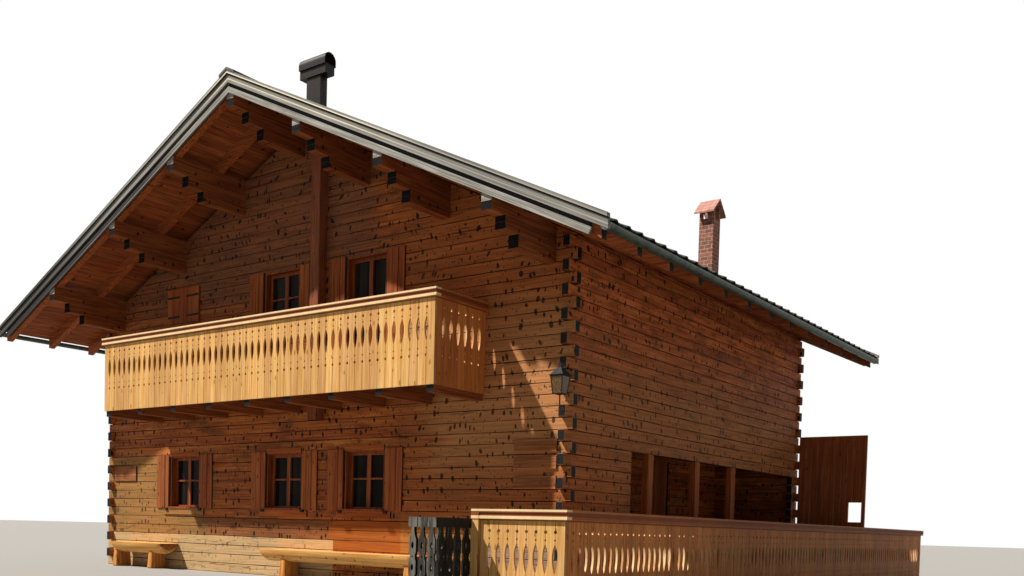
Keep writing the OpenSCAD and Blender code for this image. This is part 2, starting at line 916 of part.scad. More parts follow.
duct_x = [-310, 20];
duct_y = [-3850, -3700];
duct_over = 585;
duct_z = ridge_z + top_v + cap_h + duct_over;
cowl = [610, 200, 140];
barrel_len = 620;
barrel_r = 125;
barrel_side = 80;
barrel_t = 12;

// Outline of the barrel over the cowl: upright sides under a half circle
module barrel_profile(r, z0) {
    intersection() {
        union() {
            translate([0, barrel_side]) circle(r = r, $fn = 64);
            translate([-r, 0]) square([2 * r, barrel_side]);
        }
        translate([-r, z0]) square([2 * r, barrel_side + r - z0 + eps]);
    }
}

// Flat duct with a wide cowl and an open-ended barrel on top
module metal_chimney() {
    z0 = under(0) - cowl[2];
    x = (duct_x[0] + duct_x[1]) / 2;
    y = (duct_y[0] + duct_y[1]) / 2;
    color("#2e2a2a") {
        above_roof() translate([duct_x[0], duct_y[0], z0])
            cube([duct_x[1] - duct_x[0], duct_y[1] - duct_y[0], duct_z - z0]);
        translate([x - cowl[0] / 2, y - cowl[1] / 2, duct_z]) cube(cowl);
        translate([x - barrel_len / 2, y, duct_z + cowl[2]]) rotate([90, 0, 90]) linear_extrude(barrel_len)
            difference() {
                barrel_profile(barrel_r, 0);
                barrel_profile(barrel_r - barrel_t, barrel_t);
            }
    }
}

stack_w = 300;
stack_x = 3900;
stack_y = 2800;
stack_top = -320;
stack_z = ridge_z + stack_top;
tent_w = 420;
tent_half = 270;
tent_z = 120;
tent_h = 270;
tent_t = 35;
leg_w = 60;

module brick_chimney() {
    z0 = under(stack_x + stack_w);
    color("#a5553c") {
        above_roof() translate([stack_x - stack_w / 2, stack_y - stack_w / 2, z0])
            cube([stack_w, stack_w, stack_z - z0]);
        translate([stack_x - stack_w / 2, stack_y, stack_z]) rotate([90, 0, 90]) for (x = [0, stack_w - leg_w])
            translate([0, 0, x]) linear_extrude(leg_w) intersection() {
                for (y = [-stack_w / 2, stack_w / 2 - leg_w])
                    translate([y, 0]) square([leg_w, tent_z + tent_h]);
                polygon([[-tent_half, 0], [tent_half, 0], [tent_half, tent_z - tent_t],
                    [0, tent_z + tent_h - tent_t], [-tent_half, tent_z - tent_t]]);
            }
    }
}

// Two sloped slabs with open gables
module chimney_cap() {
    color("#b0614a") translate([stack_x - tent_w / 2, stack_y, stack_z]) rotate([90, 0, 90])
        linear_extrude(tent_w) polygon([[-tent_half, tent_z - tent_t], [-tent_half, tent_z], [0, tent_z + tent_h],
            [tent_half, tent_z], [tent_half, tent_z - tent_t], [0, tent_z + tent_h - tent_t]]);
}

lantern_x = hw - 12;
lantern_z = 2680;
lantern_out = 110;
lantern_low = 145;
lantern_top = 196;
lantern_h = 240;
lantern_rim = 220;
rim_t = 16;
hood_h = 95;
arm_z = 2530;
arm_t = 14;
arm_plate = [50, 8, 85];
rod_r = 9;
rod_drop = 40;

// Tapered side of the lantern's body, seen square on
module lantern_side() {
    polygon([[-lantern_low / 2, 0], [lantern_low / 2, 0],
        [lantern_top / 2, lantern_h], [-lantern_top / 2, lantern_h]]);
}

module spread_x(w) {
    translate([-w / 2, 0, 0]) rotate([90, 0, 90]) linear_extrude(w) children();
}

// Stands on an arm fixed to the end of one corner log
module lantern() {
    color("#222222") translate([lantern_x, front - log_end - lantern_out, 0]) {
        translate([-arm_plate[0] + arm_t / 2, lantern_out - arm_plate[1], arm_z - 60]) cube(arm_plate);
        translate([-arm_t / 2, -arm_t / 2, arm_z]) cube([arm_t, lantern_out + arm_t / 2, arm_t]);
        translate([0, 0, arm_z - rod_drop]) cylinder(r = rod_r, h = lantern_z - arm_z + rod_drop, $fn = 16);
        translate([0, 0, lantern_z]) {
            intersection() {
                spread_x(lantern_top) lantern_side();
                rotate([0, 0, 90]) spread_x(lantern_top) lantern_side();
            }
            translate([-lantern_rim / 2, -lantern_rim / 2, lantern_h]) cube([lantern_rim, lantern_rim, rim_t]);
            translate([0, 0, lantern_h + rim_t]) cylinder(r1 = lantern_top / 2, r2 = 28, h = hood_h, $fn = 32);
            translate([0, 0, lantern_h + rim_t + hood_h]) cylinder(r = 22, h = 60, $fn = 24);
        }
    }
}

name_board_z = [1450, 1722, 1950];
name_board = [710, 25, 172];
name_board_in = 150;

module name_boards() {
    color(larch) for (z = name_board_z)
        translate([hw - name_board_in - name_board[0], front - name_board[1], z]) cube(name_board);
}

plaque_size = [710, 22, 270];
plaque_in = 140;
plaque_z = 1620;

module plaque() {
    color(larch_new) translate([plaque_in - hw, front - plaque_size[1], plaque_z]) cube(plaque_size);
}

ground_floor();
upper_floor();
front_wall();
rear_wall();
left_wall();
right_wall_lower();
right_wall_upper();
right_wall_corner();
porch_side_wall();
porch_cross_wall();
porch_posts();
porch_door();
ridge_purlin();
purlins(-1);  // purlins_left
purlins(1);  // purlins_right
rafters(-1);  // rafters_left
rafters(1);  // rafters_right
roof_boards(-1);  // roof_boards_left
roof_boards(1);  // roof_boards_right
roof_tiles(-1);  // roof_tiles_left
roof_tiles(1);  // roof_tiles_right
ridge_cap();
verge_boards(-1);  // verge_boards_left
verge_boards(1);  // verge_boards_right
gutter(-1);  // gutter_left
gutter(1);  // gutter_right
balcony_floor();
balcony_joists();
balcony_front();
balcony_left();
balcony_right();
gable_post();
windows_front();
window_trims();
glass_front();
shutters_front();
shutters_left();
shutters_rear();
bench_left();
bench_right();
bench_feet();
fence_front();
fence_side();
fence_rear();
stand_ends();
stand_sides();
stand_top();
terrace_deck();
wind_screen();
metal_chimney();
brick_chimney();
chimney_cap();
lantern();
name_boards();
plaque();
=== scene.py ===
"""Looks of the alpine log chalet: finishes for every piece, roof tiles, shutters, benches, lantern and ironwork."""

import math

import bmesh
import bpy
from mathutils import Matrix, Vector


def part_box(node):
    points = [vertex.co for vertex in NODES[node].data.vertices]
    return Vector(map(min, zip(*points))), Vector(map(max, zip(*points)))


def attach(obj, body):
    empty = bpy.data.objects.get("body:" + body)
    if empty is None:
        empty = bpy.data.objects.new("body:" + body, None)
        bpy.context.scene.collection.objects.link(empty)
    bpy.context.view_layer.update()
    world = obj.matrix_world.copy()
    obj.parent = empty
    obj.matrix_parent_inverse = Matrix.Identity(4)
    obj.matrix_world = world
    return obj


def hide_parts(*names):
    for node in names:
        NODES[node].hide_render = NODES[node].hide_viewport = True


bl_info = {
    "name": "Alpine Log Chalet",
    "version": (1, 0, 0),
    "blender": (4, 5, 0),
    "location": "View3D > Sidebar > Chalet",
    "description": "Finishes and fittings of an alpine log chalet",
    "category": "Object",
}

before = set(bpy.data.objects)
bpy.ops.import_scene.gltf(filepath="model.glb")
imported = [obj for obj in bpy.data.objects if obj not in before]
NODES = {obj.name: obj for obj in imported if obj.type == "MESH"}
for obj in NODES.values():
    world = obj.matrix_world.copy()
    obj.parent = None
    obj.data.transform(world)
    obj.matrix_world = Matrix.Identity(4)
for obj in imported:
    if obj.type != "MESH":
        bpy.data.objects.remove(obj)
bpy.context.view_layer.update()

# Sizes shared with the solids, in metres
PITCH = math.radians(25.4)
RISE = math.tan(PITCH)
RIDGE_Z = 7.35
RAFTER_H, SOFFIT_T, TILE_LAYER = 0.150, 0.024, 0.085
BOARD_TOP = (RAFTER_H + SOFFIT_T) / math.cos(PITCH)
ROOF_TOP = (RAFTER_H + SOFFIT_T + TILE_LAYER) / math.cos(PITCH)
# (distance from the ridge where it begins, distance from the purlin before) of the second to the fourth purlin
PURLINS = ((0.75, 1.475), (2.3, 1.615), (4.0, 1.865))
VERGE_FRONT_Y = -5.45
TILE_FIRST, TILE_HALF = 0.19, 6.66
TILE_STEP, TILE_DROP, TILE_REACH = 0.024, 0.012, 0.297
GUTTER_ENDS = (-5.632, 4.524)
LOG_H = 0.16
FRONT_Y = -4.2
LOG_FACE_Y = FRONT_Y - 0.08
LOWER_WINDOWS = (-2.97, -0.29, 1.56)
UPPER_WINDOW, BALCONY_DOOR = -0.42, 1.52
WINDOW_W, WINDOW_Z, WINDOW_H = 0.85, 1.105, 0.95
UPPER_HEAD, DOOR_SILL = 5.06, 2.97
LEAF_W = 0.39
BALCONY_TOP, FENCE_TOP = 4.055, 1.115

# Stretches of the front wall, more or less weathered, and newer logs, some paler where the sun falls, partly as
# painted light, and one darker as painted shade: x range, z range, colour, strength, share of the marks left out,
# softness of the edges along x and z
# Paler, yellower wood at the lower left, where the sun falls: partly bleached, partly painted light
BLEACHED_AND_SUNLIT = "#9d7a45"
SHARP = (0.0, 0.0)
FRONT_PATCHES = (
    ((2.3, None), (1.0, None), "#ab6636", 0.6, 0.0, (0.3, 0.2)),
    # Paler towards the right corner, where the sunlit wedge falls: partly bleached wood, partly painted light
    ((2.9, None), (1.7, 3.9), "#c7925f", 0.6, 0.1, (0.35, 0.45)),
    # Paler behind the balcony's boards, where the sun falls: partly bleached wood, partly painted light
    ((0.6, 3.6), (2.9, 4.0), "#c99f70", 0.8, 0.3, (0.1, 0.1)),
    ((3.75, None), (None, 0.96), "#96826f", 0.85, 0.4, SHARP),
    ((2.35, 3.75), (None, 0.96), "#a8702f", 0.75, 0.3, SHARP),
    # Paler at the lower left, where the sun falls: partly bleached, partly painted light
    ((None, -2.3), (None, 2.08), BLEACHED_AND_SUNLIT, 0.75, 0.2, (0.3, 0.1)),
    # Painted shade: a darker band where the balcony's shadow falls
    ((-2.6, 0.85), (0.64, 0.96), "#75502f", 0.65, 0.0, (0.2, 0.0)),
    ((0.8, 2.35), (0.48, 0.96), "#a3591f", 0.85, 0.9, SHARP),
    ((None, 0.9), (None, 0.64), "#cfae7e", 0.85, 0.55, SHARP),
    ((None, 1.7), (4.6, None), "#76503a", 0.7, 0.0, (0.3, 0.3)),
)
SIDE_PATCHES = (((None, None), (None, 3.4), "#b57c49", 0.6, 0.1, (0.0, 0.7)),)
# The trims at the lower left are paler where the sun falls: partly bleached, partly painted light
TRIM_PATCHES = (((None, -2.3), (None, 1.2), BLEACHED_AND_SUNLIT, 0.8, 0.0, SHARP),)
SHUTTER_PATCHES = (((None, -3.3), (None, 2.2), "#8f522b", 0.6, 0.0, SHARP),)

# A rail's cap, band, strip and the strip's shadow as heights from its top, and their colours in the sun and in
# painted shade; the dark band under the cap and the strip's shadow are painted shade in both
RAIL_BANDS = ((-0.024, 0.005), (-0.076, -0.024), (-0.107, -0.076), (-0.130, -0.112))
SUNNY_BANDS = ("#ead0a0", "#87492a", "#ead0a0", "#94602f")
PAINTED_SHADE_BANDS = ("#b07040", "#8c4a28", "#a05a30", "#8c4f2a")
# The lower edges of the three name boards, painted pale as highlights
NAME_EDGE_HIGHLIGHTS = [(z, z + 0.012, "#c9793f") for z in (1.449, 1.721, 1.949)]
# The verge's edges, grooves and recess: heights over the rafters' underside, colour and strength; the black band
# beneath the boards is a dark strip deepened with painted shade, the dark recess is painted shade, and the two
# cream bands on the boards' lower edges are painted highlights
VERGE_BANDS = ((0.077, 0.131, "#0e0e10", 1.0), (0.131, 0.148, "#8b877d", 0.6), (0.178, 0.192, "#e9dcbe", 0.85),
               (0.192, 0.243, "#79766d", 0.7), (0.243, 0.263, "#3f3e40", 1.0), (0.263, 0.279, "#f2e7cd", 0.85),
               (0.290, 0.312, "#77746b", 0.6))


def linear(code):
    """An sRGB hex colour as linear RGBA."""
    parts = [int(code[i:i + 2], 16) / 255 for i in (1, 3, 5)]
    return tuple(p / 12.92 if p <= 0.04045 else ((p + 0.055) / 1.055) ** 2.4 for p in parts) + (1.0,)


def rgba(colour):
    """A colour as linear RGBA, from a hex code or from numbers."""
    return linear(colour) if isinstance(colour, str) else colour


def darker(colour, share):
    """A share of a colour's light."""
    return [share * part for part in rgba(colour)[:3]] + [1.0]


def tone(name, about, code):
    """A colour property with its default."""
    return bpy.props.FloatVectorProperty(
        name=name, description=about, subtype="COLOR", size=4, min=0, max=1, default=linear(code))


def length(name, about, value, low, high):
    """A length property in metres."""
    return bpy.props.FloatProperty(
        name=name, description=about, default=value, min=low, max=high, unit="LENGTH", subtype="DISTANCE")


class ChaletColours(bpy.types.PropertyGroup):
    """Colours of the chalet's finishes."""

    log_light: tone("Log light", "Early wood of the aged wall logs", "#be6f39")
    log_dark: tone("Log dark", "Late wood of the aged wall logs", "#884320")
    side_light: tone("Side log light", "Early wood of the side wall, bleached less evenly", "#d0743f")
    side_dark: tone("Side log dark", "Late wood of the side wall", "#964a28")
    log_mark: tone("Axe marks", "Dark marks left by the axe and the old nails", "#1f1510")
    end_grain: tone("End grain", "Weathered ends of logs and purlins", "#1f2224")
    soffit_light: tone("Soffit light", "Light streaks of the roof boards", "#a1572f")
    soffit_dark: tone("Soffit dark", "Dark streaks of the roof boards", "#66321e")
    larch_light: tone("New larch light", "Early wood of the new boards", "#dcb074")
    larch_dark: tone("New larch dark", "Late wood of the new boards", "#bf8744")
    board_light: tone("Shutter light", "Light streaks of shutters and planks", "#b06236")
    board_dark: tone("Shutter dark", "Dark streaks of shutters and planks", "#824223")
    frame_wood: tone("Window frame", "Stained window frames", "#a1562a")
    verge_light: tone("Verge light", "Silver-grey weathered boards", "#a9a79f")
    verge_dark: tone("Verge dark", "Dark streaks of the weathered boards", "#67645d")
    tile: tone("Roof tile", "Dark fired roof tiles", "#3a3c39")
    gutter: tone("Gutter", "Green-grey painted gutter", "#47534a")
    black_board: tone("Black boards", "Black stained boards of the stand", "#232322")
    flue: tone("Flue metal", "Dark brown sheet of the flue", "#1e1918")
    brick: tone("Brick", "Fired bricks of the chimney", "#a3604a")
    floor: tone("Floor", "Pale studio floor", "#94928e")


class ChaletSizes(bpy.types.PropertyGroup):
    """Sizes of the chalet's small parts."""

    tile_w: length("Tile width", "Covering width of one roof tile", 0.299, 0.2, 0.4)
    tile_rows: bpy.props.IntProperty(
        name="Tile rows", description="Rows of tiles on one slope", default=22, min=10, max=40)
    tile_roll: length("Tile roll", "Height of the roll along one tile's edge", 0.019, 0.01, 0.04)
    shutter_board: length("Shutter board", "Width of one board of a shutter", 0.13, 0.08, 0.2)
    strap_w: length("Strap width", "Width of the iron shutter straps", 0.035, 0.02, 0.06)


class Live:
    """The colours or sizes of the scene, read when they are used."""

    def __init__(self, group):
        self.group = group

    def __getattr__(self, name):
        value = getattr(getattr(bpy.context.scene, self.group), name)
        return tuple(value) if hasattr(value, "__len__") else value


COLOURS = Live("chalet_colours")
SIZES = Live("chalet_sizes")


# --- nodes

class Nodes:
    """Short ways to add nodes to an emptied tree; each gives back the new node's output."""

    def __init__(self, tree):
        self.tree = tree
        tree.nodes.clear()

    def feed(self, socket, value):
        """Links an output to a socket, or sets the socket to a number or a colour."""
        if isinstance(value, bpy.types.NodeSocket):
            self.tree.links.new(value, socket)
        else:
            socket.default_value = rgba(value)

    def add(self, kind, settings=None, **inputs):
        """Adds one node with its settings and inputs (by name, or i0, i1 by place)."""
        node = self.tree.nodes.new("ShaderNode" + kind)
        for key, value in (settings or {}).items():
            setattr(node, key, value)
        for key, value in inputs.items():
            self.feed(node.inputs[int(key[1:]) if key[1:].isdigit() else key.replace("_", " ")], value)
        colour_mix = kind == "Mix" and node.data_type == "RGBA"
        return node.outputs[2 if colour_mix else 0]

    def end(self, kind, shader):
        """Leads a shader to the output of a material or a world."""
        self.feed(self.tree.nodes.new("ShaderNodeOutput" + kind).inputs["Surface"], shader)

    def calc(self, operation, a, b=0.0, c=0.0):
        """The result of one sum."""
        return self.add("Math", {"operation": operation}, i0=a, i1=b, i2=c)

    def times(self, value, *others):
        """The product of some values."""
        for other in others:
            value = self.calc("MULTIPLY", value, other)
        return value

    def fade(self, value, low, high, first=0.0, last=1.0):
        """A smooth step from first to last as value goes from low to high."""
        return self.add("MapRange", {"interpolation_type": "SMOOTHSTEP"}, i0=value, i1=low, i2=high, i3=first, i4=last)

    def between(self, value, a, b, c, d):
        """Rises to 1 from a to b and falls back to 0 from c to d."""
        return self.times(self.fade(value, a, b), self.fade(value, c, d, 1.0, 0.0))

    def within(self, *ranges):
        """1 where each (value, low, high, softness of its ends) is in its range; None leaves an end open."""
        mask = 1.0
        for value, low, high, edge in ranges:
            if low is not None:
                mask = self.times(mask, self.fade(value, low - edge, low + edge))
            if high is not None:
                mask = self.times(mask, self.fade(value, high - edge, high + edge, 1.0, 0.0))
        return mask

    def blend(self, factor, a, b):
        """Colour a turned into colour b by a factor."""
        return self.add("Mix", {"data_type": "RGBA"}, i0=factor, i6=a, i7=b)

    def chance(self, u, v):
        """A number by chance between 0 and 1 for each pair of whole numbers."""
        return self.add("TexWhiteNoise", {"noise_dimensions": "2D"}, Vector=self.add("CombineXYZ", X=u, Y=v))

    def joints(self, value, step, shift, half):
        """(mask of the joints at every step, number of the board, distance to the nearest joint)."""
        count = self.calc("DIVIDE", self.calc("SUBTRACT", value, shift), step)
        number = self.calc("FLOOR", count)
        part = self.calc("SUBTRACT", count, number)
        near = self.times(self.calc("MINIMUM", part, self.calc("SUBTRACT", 1.0, part)), step)
        return self.fade(near, half * 0.4, half * 1.5, 1.0, 0.0), number, near


class Finish(Nodes):
    """A new material in the object's coordinates, with the colour and the relief that it has so far."""

    def __init__(self, name):
        self.material = bpy.data.materials.new(name)
        self.material.use_nodes = True
        super().__init__(self.material.node_tree)
        self.shader = self.add("BsdfPrincipled").node
        self.end("Material", self.shader.outputs[0])
        coordinates = self.add("TexCoord").node.outputs
        self.place = coordinates["Object"]
        self.axes = self.add("SeparateXYZ", i0=self.place).node.outputs
        self.x, self.y, self.z = self.axes
        self.facing = self.add("SeparateXYZ", i0=coordinates["Normal"]).node.outputs
        self.colour = self.relief = None

    def cover(self, colour, *masks):
        """Lays a colour over what is there, as far as all masks let it."""
        self.colour = self.blend(self.times(*masks), self.colour, colour)

    def carve(self, *depths):
        """Lowers the relief by a product."""
        self.relief = self.calc("SUBTRACT", self.relief, self.times(*depths))

    def spots(self, scale, detail, rough):
        """Soft noise between 0 and 1 in the object's own coordinates."""
        return self.add("TexNoise", Vector=self.place, Scale=scale, Detail=detail, Roughness=rough)

    def streaks(self, scales, detail, rough, scale=1.0):
        """Noise with its own scale along each axis."""
        parts = {name: self.times(axis, factor) for name, axis, factor in zip("XYZ", self.axes, scales)}
        drawn = self.add("CombineXYZ", **parts)
        return self.add("TexNoise", Vector=drawn, Scale=scale, Detail=detail, Roughness=rough)

    def end_mask(self, along):
        """1 on the faces across the grain, where the end grain shows."""
        return self.fade(self.calc("ABSOLUTE", self.facing[along]), 0.80, 0.95)

    def speckle(self, u, v, seed, share, size, ragged=0.12):
        """Scattered ovals of unequal size in a share of a plane's cells; each seed has its own."""
        moved = self.add("VectorMath", {"operation": "ADD"},
                         i0=self.add("CombineXYZ", X=u, Y=v, Z=seed), i1=(seed * 7.3, seed * 3.1, 0.0))
        cell = self.add("TexVoronoi", {"voronoi_dimensions": "2D"}, Vector=moved, Scale=1.0, Randomness=0.95)
        cell = cell.node.outputs
        pick = self.add("SeparateColor", i0=cell["Color"]).node.outputs
        reach = self.times(self.fade(pick[0], 1.0 - share, 1.0 - 0.6 * share, -0.05, 1.0),
                           self.fade(pick[1], 0.0, 1.0, 0.25 * size, 1.15 * size))
        uneven = self.calc("MULTIPLY_ADD", self.spots(38.0, 2.0, 0.6), ragged, -0.5 * ragged)
        away = self.calc("ADD", cell["Distance"], uneven)
        return self.fade(self.calc("SUBTRACT", away, reach), 0.0, 0.035, 1.0, 0.0)

    def done(self, rough, strength=0.0, distance=0.0, **values):
        """The material with its roughness, the strength and distance of its relief, and other values."""
        if strength:
            values["Normal"] = self.add("Bump", Strength=strength, Distance=distance, Height=self.relief)
        for name, value in {"Base_Color": self.colour, "Roughness": rough, **values}.items():
            self.feed(self.shader.inputs[name.replace("_", " ")], value)
        return self.material


# --- materials

def grain_scales(across, lengthwise, along):
    """Waves a metre across the grain and lengthwise, for a grain along one axis."""
    scales = [across] * 3
    scales[along] = lengthwise
    return scales


def axe_marks(m, u, seed):
    """Bites of the axe: upright and leaning ovals, 20 to 60 mm high, with smaller ones between them."""
    lean = m.calc("MULTIPLY_ADD", m.spots(1.1, 1.0, 0.5), 1.6, -0.55)
    bites = m.speckle(m.calc("MULTIPLY_ADD", m.z, lean, m.times(u, 9.6)), m.times(m.z, 5.4), seed, 0.8, 0.2, 0.16)
    small = m.speckle(m.times(u, 17.0), m.times(m.z, 10.0), seed + 0.5, 0.5, 0.14)
    return m.calc("MAXIMUM", bites, m.times(small, 0.7))


def timber(name, light, dark, along, boards=None, tint=0.12, rough=0.62, marks=0.0, knots=0.0, cracks=0.0,
           seam=None, ends=None, bands=(), patches=(), bump=0.35, seed=0.0, wear_and_sunlit_face=None):
    """Sawn or hewn wood with its grain along one axis.

    boards is (axis, width, shift, half width of the joint); bands are (low, high, colour) by height; patches are as
    in FRONT_PATCHES; ends is the end grain's colour and wear_and_sunlit_face that of the faces turned to the front:
    worn by the weather, and on runs in painted shade painted sunlight on the cut edges.
    """
    m = Finish(name)
    light, dark = rgba(light), rgba(dark)
    # Grain streaks about 15 mm wide, so that they show at the size of a house
    grain = m.streaks(grain_scales(38.0, 1.4, along), 5.0, 0.62)
    broad = grain_scales(4.5, 0.5, along)
    wide = m.streaks(broad, 3.0, 0.5)
    m.colour = m.add("ValToRGB", Fac=grain)
    stops = m.colour.node.color_ramp.elements
    stops.new(0.5)
    middle = [0.5 * (a + b) for a, b in zip(light, dark)]
    for stop, place, shade in zip(stops, (0.34, 0.50, 0.66), (dark, middle, light)):
        stop.position = place
        stop.color = shade
    m.relief = m.times(grain, 0.5)
    value, hue = m.fade(wide, 0.3, 0.7, 1.0 - tint, 1.0 + tint), 0.5
    if boards:
        axis, width, shift, half = boards
        joint, number, near = m.joints(m.axes[axis], width, shift, half)
        chance = m.add("TexWhiteNoise", {"noise_dimensions": "1D"}, W=m.calc("ADD", number, seed + 0.37))
        value = m.times(value, m.fade(chance, 0.0, 1.0, 1.0 - tint, 1.0 + tint))
        hue = m.calc("MULTIPLY_ADD", chance, 0.010, 0.496)
    m.colour = m.add("HueSaturation", Hue=hue, Value=value, Color=m.colour)
    if marks:
        # Weather has greyed and darkened the hewn faces unevenly
        m.cover("#553821", m.fade(m.streaks((1.5, 1.5, 3.2), 5.0, 0.68), 0.46, 0.66, 0.0, 0.6))
    keep = 1.0
    for (x_low, x_high), (z_low, z_high), code, strength, quiet, (x_soft, z_soft) in patches:
        uneven = m.calc("MULTIPLY_ADD", wide, 4.0 * x_soft, m.calc("SUBTRACT", m.x, 2.0 * x_soft))
        inside = m.within((uneven, x_low, x_high, max(x_soft, 0.006)), (m.z, z_low, z_high, max(z_soft, 0.008)))
        m.cover(m.blend(m.fade(grain, 0.3, 0.7), darker(code, 0.72), code), inside, strength)
        if quiet:
            keep = m.times(keep, m.calc("MULTIPLY_ADD", inside, -quiet, 1.0))
    u = m.axes[along] if along < 2 else m.calc("ADD", m.x, m.y)
    if cracks:
        wave = m.streaks(grain_scales(8.0, 0.5, along), 2.0, 0.5)
        split = m.fade(m.calc("ABSOLUTE", m.calc("SUBTRACT", wave, 0.5)), 0.001, 0.008, cracks, 0.0)
        m.cover(COLOURS.log_mark, split)
        m.carve(split, 0.5)
    if marks:
        spot = m.times(axe_marks(m, u, seed), marks, keep)
        m.cover(COLOURS.log_mark, spot)
        m.carve(spot, 0.8)
    if knots:
        wide_cell, high_cell = (5.0, 8.0) if along < 2 else (7.5, 3.4)
        ring = m.speckle(m.times(u, wide_cell), m.times(m.z, high_cell), seed, 0.45, 0.10, 0.05)
        m.cover(darker(dark, 0.35), ring, knots)
    if boards:
        m.cover(seam or COLOURS.log_mark, joint, m.fade(m.streaks(broad, 3.0, 0.6, 2.0), 0.38, 0.6, 0.3, 1.0))
        m.carve(joint)
    for low, high, code in bands:
        m.cover(m.blend(m.fade(wide, 0.35, 0.65), darker(code, 0.88), code), m.within((m.z, low, high, 0.001)))
    if wear_and_sunlit_face:
        # Faces turned to the front: weather wear, and on runs in painted shade painted sunlight on the cut edges
        patchy = m.fade(m.streaks(broad, 4.0, 0.65, 3.0), 0.4, 0.6, 0.15, 1.0)
        m.cover(wear_and_sunlit_face, m.fade(m.times(m.facing[1], -1.0), 0.6, 0.8), patchy)
    if ends:
        old = m.fade(m.spots(28.0, 3.0, 0.6), 0.35, 0.65)
        seams = m.fade(near, 0.007, 0.014, 0.25, 1.0) if boards and along < 2 else 1.0
        m.cover(m.blend(old, ends, darker(ends, 0.5)), m.end_mask(along), seams)
    # Raw, dusty wood has hardly any sheen
    return m.done(m.fade(grain, 0.2, 0.8, rough + 0.1, rough - 0.08), bump, 0.006, IOR=1.5, Specular_IOR_Level=0.1)


def purlin_wood():
    """Hewn purlins: brown sides, dark checked ends deepened with painted shade, the top ends at the verge bleached grey
    by the weather.
    """
    m = Finish("hewn_larch_purlin")
    grain = m.streaks(grain_scales(36.0, 1.4, 1), 5.0, 0.62)
    wide = m.streaks(grain_scales(4.0, 0.6, 1), 3.0, 0.5)
    m.colour = m.add("HueSaturation", Color=m.blend(m.fade(grain, 0.34, 0.66), "#6f3a20", "#985a34"),
                     Value=m.fade(wide, 0.3, 0.7, 0.8, 1.15))
    bites = m.speckle(m.times(m.y, 7.0), m.times(m.z, 5.5), 7.0, 0.55, 0.16)
    m.cover(COLOURS.log_mark, bites, 0.85)
    checks = m.fade(m.streaks((9.0, 9.0, 60.0), 3.0, 0.6), 0.4, 0.6)
    top_z = RIDGE_Z
    for border, gap in PURLINS:
        top_z = m.calc("MULTIPLY_ADD", m.calc("GREATER_THAN", m.calc("ABSOLUTE", m.x), border), -gap * RISE, top_z)
    upper = m.fade(m.calc("SUBTRACT", m.z, top_z), -0.098, -0.090)
    foremost = m.fade(m.y, VERGE_FRONT_Y - 0.05, VERGE_FRONT_Y, 1.0, 0.0)
    # The dark end grain is made darker still as painted shade, for the verge's shadow on the purlins' front ends
    dark_end_and_shade, pale_end = m.blend(checks, "#08090a", "#131517"), m.blend(checks, "#7f7a71", "#a8a299")
    m.cover(m.blend(m.times(upper, foremost), dark_end_and_shade, pale_end), m.end_mask(1))
    m.relief = m.times(grain, 0.5)
    m.carve(bites)
    return m.done(0.68, 0.45, 0.006, Specular_IOR_Level=0.05)


def verge_wood():
    """Weathered verge boards: silver grey, with painted highlights on their lower edges, over a recess and a groove
    darkened with painted shade.
    """
    m = Finish("weathered_verge_board")
    over = m.calc("SUBTRACT", m.z, m.calc("MULTIPLY_ADD", m.calc("ABSOLUTE", m.x), -RISE, RIDGE_Z))
    drawn = m.add("CombineXYZ", X=m.times(m.x, 1.1), Y=m.times(m.y, 40.0), Z=m.times(over, 70.0))
    grain = m.add("TexNoise", Vector=drawn, Scale=1.0, Detail=5.0, Roughness=0.62)
    m.relief = grain
    streak = m.fade(grain, 0.32, 0.68)
    m.colour = m.add("HueSaturation", Color=m.blend(streak, COLOURS.verge_dark, COLOURS.verge_light),
                     Value=m.fade(m.spots(1.6, 3.0, 0.6), 0.3, 0.7, 0.82, 1.12))
    for low, high, code, strength in VERGE_BANDS:
        m.cover(code, m.within((over, low, high, 0.002)), strength)
    # Towards its foot the right slope turns a darker grey and loses its painted highlights, as painted shade, but for
    # the recess
    recess = m.between(over, 0.241, 0.243, 0.262, 0.264)
    m.cover(m.blend(streak, "#5d5c59", "#83827e"), m.fade(m.x, 2.4, 4.2, 0.0, 0.75), m.fade(over, 0.148, 0.152),
            m.calc("SUBTRACT", 1.0, recess))
    # The left slope is greyer, and darker towards its foot, with a black lower board
    left = m.times(m.x, -1.0)
    board = m.calc("MAXIMUM", m.between(over, 0.155, 0.175, 0.245, 0.255), m.fade(over, 0.262, 0.27))
    m.cover(m.blend(streak, "#6c706f", "#8d918f"), board, m.fade(left, 0.1, 0.9, 0.0, 0.9))
    m.cover("#17191c", m.fade(left, 2.4, 5.4, 0.0, 0.82))
    m.cover("#0b0b0e", m.fade(left, 0.7, 2.2), m.fade(over, 0.13, 0.15, 0.97, 0.0),
            m.fade(over, -0.004, 0.008, 0.2, 1.0))
    m.cover("#4a3a2e", m.fade(m.facing[2], -0.4, -0.6), 0.7)
    return m.done(m.fade(grain, 0.2, 0.8, 0.85, 0.7), 0.35, 0.004, Specular_IOR_Level=0.25)


